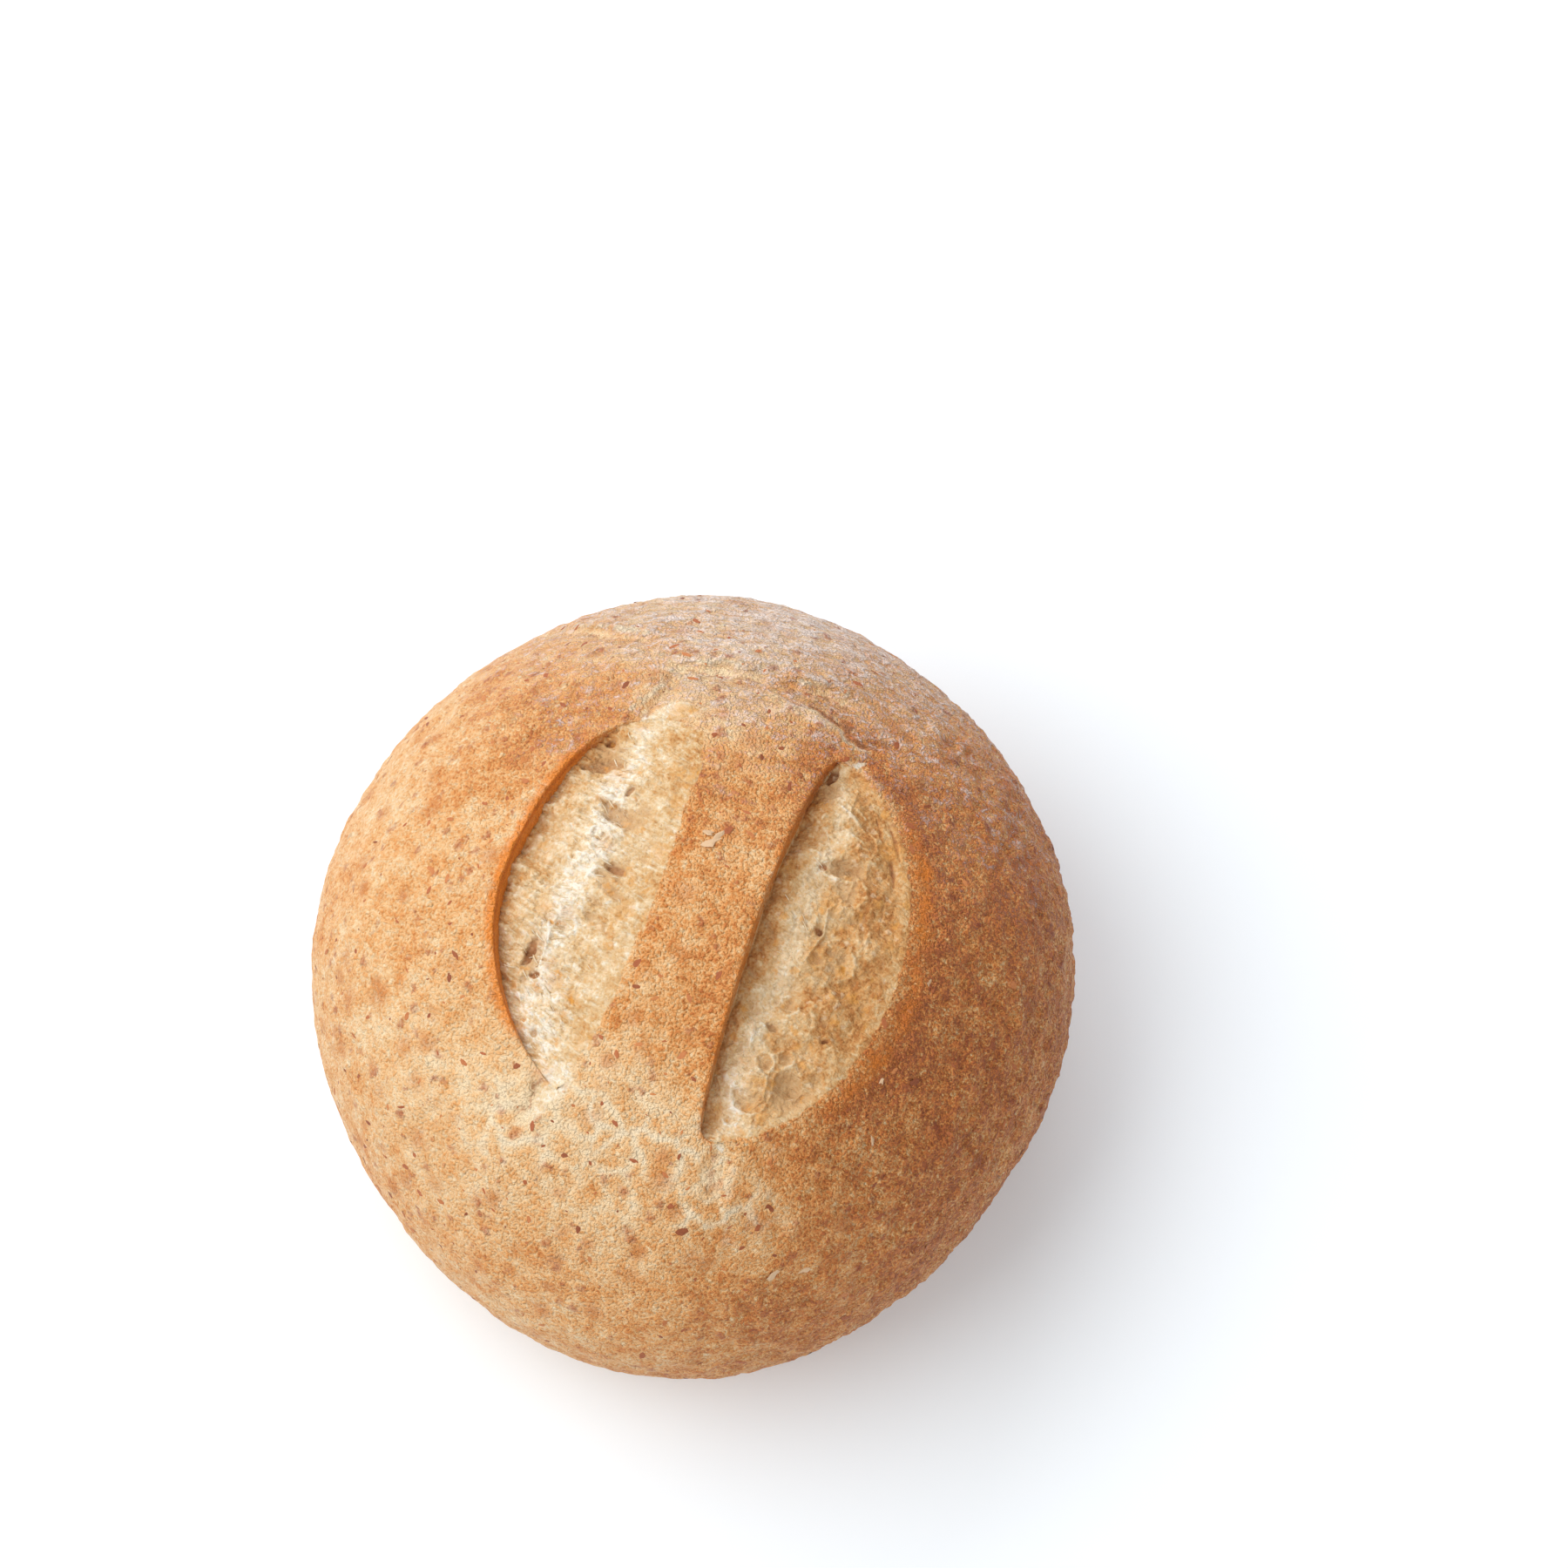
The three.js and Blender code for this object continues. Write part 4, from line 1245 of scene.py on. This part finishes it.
def scatterTree():  # a geometry tree that strews one small shape over a surface and turns it all to mesh
    tree = bpy.data.node_groups.new("strew", "GeometryNodeTree")
    tree.interface.new_socket("Geometry", in_out="OUTPUT", socket_type="NodeSocketGeometry")
    kinds = {"Geometry": "Geometry", "Shape": "Object", "Spacing": "Float", "Smallest": "Float",
             "Largest": "Float", "Flat": "Float", "Tilt": "Float", "Spread": "Float", "Seed": "Int",
             "Finish": "Material"}
    for label, kind in kinds.items():
        tree.interface.new_socket(label, in_out="INPUT", socket_type="NodeSocket" + kind)
    g = Graph(tree)
    entry = g.node("NodeGroupInput")
    given = {socket.name: entry.output(socket.name) for socket in entry.socket.node.outputs if socket.name}
    share = g.node("GeometryNodeInputNamedAttribute", {"data_type": "FLOAT"}, {"Name": "share"})
    lie = g.node("GeometryNodeInputNamedAttribute", {"data_type": "FLOAT_VECTOR"}, {"Name": "lie"})
    points = g.node("GeometryNodeDistributePointsOnFaces", {"distribute_method": "POISSON"},
                    {"Mesh": given["Geometry"], "Distance Min": given["Spacing"],
                     "Density Max": 3 / (given["Spacing"] * given["Spacing"]), "Density Factor": share,
                     "Seed": given["Seed"]})
    facing = g.node("FunctionNodeAlignRotationToVector", {"axis": "Z"}, {"Vector": points.output("Normal")})
    facing = g.node("FunctionNodeAlignRotationToVector", {"axis": "X", "pivot_axis": "Z"},
                    {"Rotation": facing, "Vector": lie})
    tilt, spread = given["Tilt"], given["Spread"]
    least = g.node("ShaderNodeCombineXYZ", {}, {0: -1 * tilt, 1: -1 * tilt, 2: -1 * spread})
    most = g.node("ShaderNodeCombineXYZ", {}, {0: tilt, 1: tilt, 2: spread})
    turned = g.node("FunctionNodeRandomValue", {"data_type": "FLOAT_VECTOR"},
                    {0: least, 1: most, "Seed": given["Seed"]})
    facing = g.node("FunctionNodeRotateRotation", {"rotation_space": "LOCAL"}, {"Rotation": facing, 1: turned})
    draw = g.chance(0.0, 1.0, given["Seed"] + 7)
    size = given["Smallest"] + (given["Largest"] - given["Smallest"]) * draw * draw
    wide = g.chance(0.65, 1.25, given["Seed"] + 3)
    scale = g.node("ShaderNodeCombineXYZ", {}, {0: size, 1: size * wide, 2: size * given["Flat"]})
    shape = g.node("GeometryNodeObjectInfo", {"transform_space": "ORIGINAL"}, {"Object": given["Shape"]},
                   "Geometry")
    strewn = g.node("GeometryNodeInstanceOnPoints", {},
                    {"Points": points, "Instance": shape, "Rotation": facing, "Scale": scale})
    tint = g.chance(0.0, 1.0, given["Seed"] + 11)
    strewn = g.node("GeometryNodeStoreNamedAttribute", {"data_type": "FLOAT", "domain": "INSTANCE"},
                    {"Geometry": strewn, "Name": "tint", "Value": tint})
    solid = g.node("GeometryNodeRealizeInstances", {}, {"Geometry": strewn})
    solid = g.node("GeometryNodeSetMaterial", {}, {"Geometry": solid, "Material": given["Finish"]})
    g.node("NodeGroupOutput", {}, {"Geometry": solid})
    return tree


def flakeMaterial(name, colours):
    material, g = newMaterial(name)
    place = g.node("ShaderNodeTexCoord", {}, {}, "Object")
    place = g.node("ShaderNodeMapping", {}, {"Vector": place, "Scale": (1000, 1000, 1000)})
    streaks = g.waves(place, 0.35, 2.0, 0.6) - 0.5
    colour = g.node("ShaderNodeValToRGB", {"stops": colours}, {0: g.value("tint") + 0.6 * streaks})
    grain = g.node("ShaderNodeBump", {}, {"Strength": 0.4, "Distance": 0.0002, "Height": streaks})
    shine = g.node("ShaderNodeBsdfPrincipled", {},
                   {"Base Color": colour, "Roughness": 0.62 + 0.3 * streaks, "Normal": grain,
                    "Specular IOR Level": 0.35})
    g.node("ShaderNodeOutputMaterial", {}, {"Surface": shine})
    return material


def strew(tree, source, shape, name, share, lie, spread):
    look = scattered[name]
    paint(source, share=share)
    layer = source.data.attributes.new("lie", "FLOAT_VECTOR", "POINT")
    layer.data.foreach_set("vector", np.asarray(lie, np.float32).ravel())
    material = flakeMaterial(name, look["colours"])
    inputs = {"Shape": shape, "Spacing": look["spacing"] * mm, "Smallest": look["smallest"] * mm,
              "Largest": look["largest"] * mm, "Flat": look["flat"], "Tilt": math.radians(look["tilt"]),
              "Spread": math.radians(spread), "Seed": look["seed"], "Finish": material}
    grower = source.modifiers.new("strew", "NODES")
    grower.node_group = tree
    for socket in tree.interface.items_tree:
        if socket.in_out == "INPUT" and socket.name in inputs:
            grower[socket.identifier] = inputs[socket.name]
    piece = bpy.data.objects.new(name, settled(source, name))
    bpy.context.collection.objects.link(piece)
    source.modifiers.remove(grower)
    for layer in ("share", "lie"):
        source.data.attributes.remove(source.data.attributes[layer])
    finishPiece(piece, material, look["flat"] > 0.5)
    discard(shape)
    print(name + ":", len(piece.data.polygons), "faces")


def makeCrust(points, faces, offset):
    piece = meshOf("roll_crust", (points + offset) * mm, faces)
    dress(piece, points)
    finishPiece(piece, bread)
    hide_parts("roll")
    print("crust:", len(faces), "triangles, moved", offset.round(2), "mm")
    return piece


def makeCrumb(name, cut, offset):
    points, faces = crumbSlab(cut)
    piece = meshOf("crumb_" + name, (points + offset) * mm, faces)
    dress(piece, points, cut)
    finishPiece(piece, bread)
    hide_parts("roll")
    print("crumb", name + ":", len(faces), "triangles")
    return points, faces


def strewFlakes(tree, crust, points):  # bran and husks over the crust, clear of the cuts and the base
    x, y, z = points.T
    covered, clear = np.ones(len(x)), np.ones(len(x))
    for cut in cuts.values():
        toLip, _ = cutPlace(cut, x, y)
        covered *= 1 - smooth((toLip + 0.6) / 0.4)
        clear *= 1 - smooth((toLip + 2.6) / 0.4)
    covered *= (1 - tearShare(x, y)) * smooth((z - 3) / 4)
    patchy = np.clip(0.55 + 0.9 * noise(points, 9.0, 97), 0.1, 1)
    anyWay = np.tile((1.0, 0.0, 0.0), (len(x), 1))
    strew(tree, crust, meshOf("flake", *chip(21)), "bran_flakes", covered * patchy, anyWay, 180)
    strew(tree, crust, meshOf("husk", *chip(22, 0.4)), "husks", covered * clear * huskShare, anyWay, 180)


def makeLaidHusks(offset):
    points, faces = layHusks()
    piece = meshOf("laid_husks", (points + offset) * mm, faces)
    paint(piece, tint=np.full(len(points), 0.1))
    finishPiece(piece, bpy.data.materials["husks"], False)


def strewStrands(tree, beds, offset):  # fine torn threads over the crumb, most of them where it is palest
    shares, lies, bedPoints, bedFaces, first = [], [], [], [], 0
    for cut, points, faces in beds:
        x, y, z = points.T
        toLip, toEdge = cutPlace(cut, x, y)
        opened = smooth((toLip - 0.8) / 1.0) * smooth((toEdge - 2.0) / 1.5)
        top = z > crownHeight(x, y) + reliefHeight(x, y) - cut["depth"] - 0.9
        fibrous = cut["fibre"] / cuts["left"]["fibre"]
        shares.append(opened * top * fibrous ** 2 * (0.04 + 0.96 * runShare(x, y, cut["pale"], 0, 0.8)))
        heading = math.radians(cut["heading"])
        lies.append(np.tile((math.cos(heading), math.sin(heading), 0.0), (len(x), 1)))
        bedPoints.append(points)
        bedFaces.append(faces + first)
        first += len(points)
    bed = meshOf("bed", (np.concatenate(bedPoints) + offset) * mm, np.concatenate(bedFaces))
    strew(tree, bed, strandMesh("strand"), "crumb_strands", np.concatenate(shares), np.concatenate(lies), 34)
    discard(bed)


bread = breadMaterial()
rollPoints, rollFaces = cutRoll()
rollPoints = roundRims(rollPoints, rollFaces)
low, high = (np.array(corner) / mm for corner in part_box("roll"))
middle = (low + high) / 2
offset = np.array([*(middle - (rollPoints.min(0) + rollPoints.max(0)) / 2)[:2], 0])
crustPiece = makeCrust(rollPoints, rollFaces, offset)
beds = [(cut, *makeCrumb(name, cut, offset)) for name, cut in cuts.items()]
strewTree = scatterTree()
strewFlakes(strewTree, crustPiece, rollPoints)
makeLaidHusks(offset)
strewStrands(strewTree, beds, offset)


# The floor, the light and the camera
floorLook = {"size": 6.0, "colour": (0.88, 0.94, 0.995), "glow": 0.085}
view = {
    "elevation": 70.0,
    "azimuth": 20.0,
    "distance": 0.650,
    "pixels": 9.72,  # photograph pixels per millimetre at the roll
    "middle": (782.0, 1107.5),  # where the roll's middle lies in the photograph
    "frame": 1800,
    "sensor": 36.0,
    "target": 26.5,  # height of the roll's middle, millimetres
}


def makeFloor():
    mesh = bpy.data.meshes.new("floor")
    half = floorLook["size"] / 2
    corners = [(-half, -half, 0), (half, -half, 0), (half, half, 0), (-half, half, 0)]
    mesh.from_pydata(corners, [], [(0, 1, 2, 3)])
    floor = bpy.data.objects.new("floor", mesh)
    bpy.context.collection.objects.link(floor)
    material, g = newMaterial("paper")
    shine = g.node("ShaderNodeBsdfPrincipled", {}, {"Base Color": (*floorLook["colour"], 1), "Roughness": 0.9,
                                                    "Specular IOR Level": 0.1, "Emission Color": (1, 1, 1, 1),
                                                    "Emission Strength": floorLook["glow"]})
    g.node("ShaderNodeOutputMaterial", {}, {"Surface": shine})
    mesh.materials.append(material)


def makeCamera():
    e, a = math.radians(view["elevation"]), math.radians(view["azimuth"])
    centre = Vector((0, 0, view["target"] * mm))
    back = Vector((math.sin(a) * math.cos(e), -math.cos(a) * math.cos(e), math.sin(e)))
    right = (-back).cross(Vector((0, 0, 1))).normalized()
    up = right.cross(-back)
    half = view["frame"] / 2
    metre = view["pixels"] / mm
    aim = centre + right * ((half - view["middle"][0]) / metre) + up * ((view["middle"][1] - half) / metre)
    data = bpy.data.cameras.new("camera")
    data.sensor_width = view["sensor"]
    data.lens = metre * view["distance"] * view["sensor"] / view["frame"]
    data.clip_start, data.clip_end = 0.01, 20
    camera = bpy.data.objects.new("camera", data)
    bpy.context.collection.objects.link(camera)
    camera.location = centre + back * view["distance"]
    camera.rotation_euler = (aim - camera.location).to_track_quat("-Z", "Y").to_euler()
    bpy.context.scene.camera = camera


# Lights by compass: degrees round from the camera's left, height above the floor, watts, size, colour
lights = {
    "window": (4, 49, 11.0, 1.3, (1.0, 0.985, 0.965)),
    "back": (82, 28, 5.2, 0.9, (1.0, 0.97, 0.98)),
    "fill": (-62, 40, 1.4, 1.0, (1.0, 0.99, 0.98)),
    "right": (-150, 42, 2.2, 1.0, (1.0, 0.98, 0.96)),
}
skyLight = {"strength": 0.36, "colour": (1.0, 1.0, 1.0)}


def makeLights():
    centre = Vector((0, 0, view["target"] * mm))
    for name, (round_, height, watts, size, colour) in lights.items():
        turn = math.radians(180 + view["azimuth"] - round_)
        lift = math.radians(height)
        data = bpy.data.lights.new(name, "AREA")
        data.shape = "DISK"
        data.energy, data.size, data.color = watts, size, colour
        lamp = bpy.data.objects.new(name, data)
        bpy.context.collection.objects.link(lamp)
        away = Vector((math.cos(turn) * math.cos(lift), math.sin(turn) * math.cos(lift), math.sin(lift)))
        lamp.location = centre + away * 1.1
        lamp.rotation_euler = (-away).to_track_quat("-Z", "Y").to_euler()
    world = bpy.data.worlds.new("sky")
    world.use_nodes = True
    sky = world.node_tree.nodes["Background"]
    sky.inputs["Color"].default_value = (*skyLight["colour"], 1)
    sky.inputs["Strength"].default_value = skyLight["strength"]
    bpy.context.scene.world = world


makeFloor()
makeCamera()
makeLights()
bpy.context.scene.view_settings.view_transform = "Standard"
print("floor, camera and lights made")
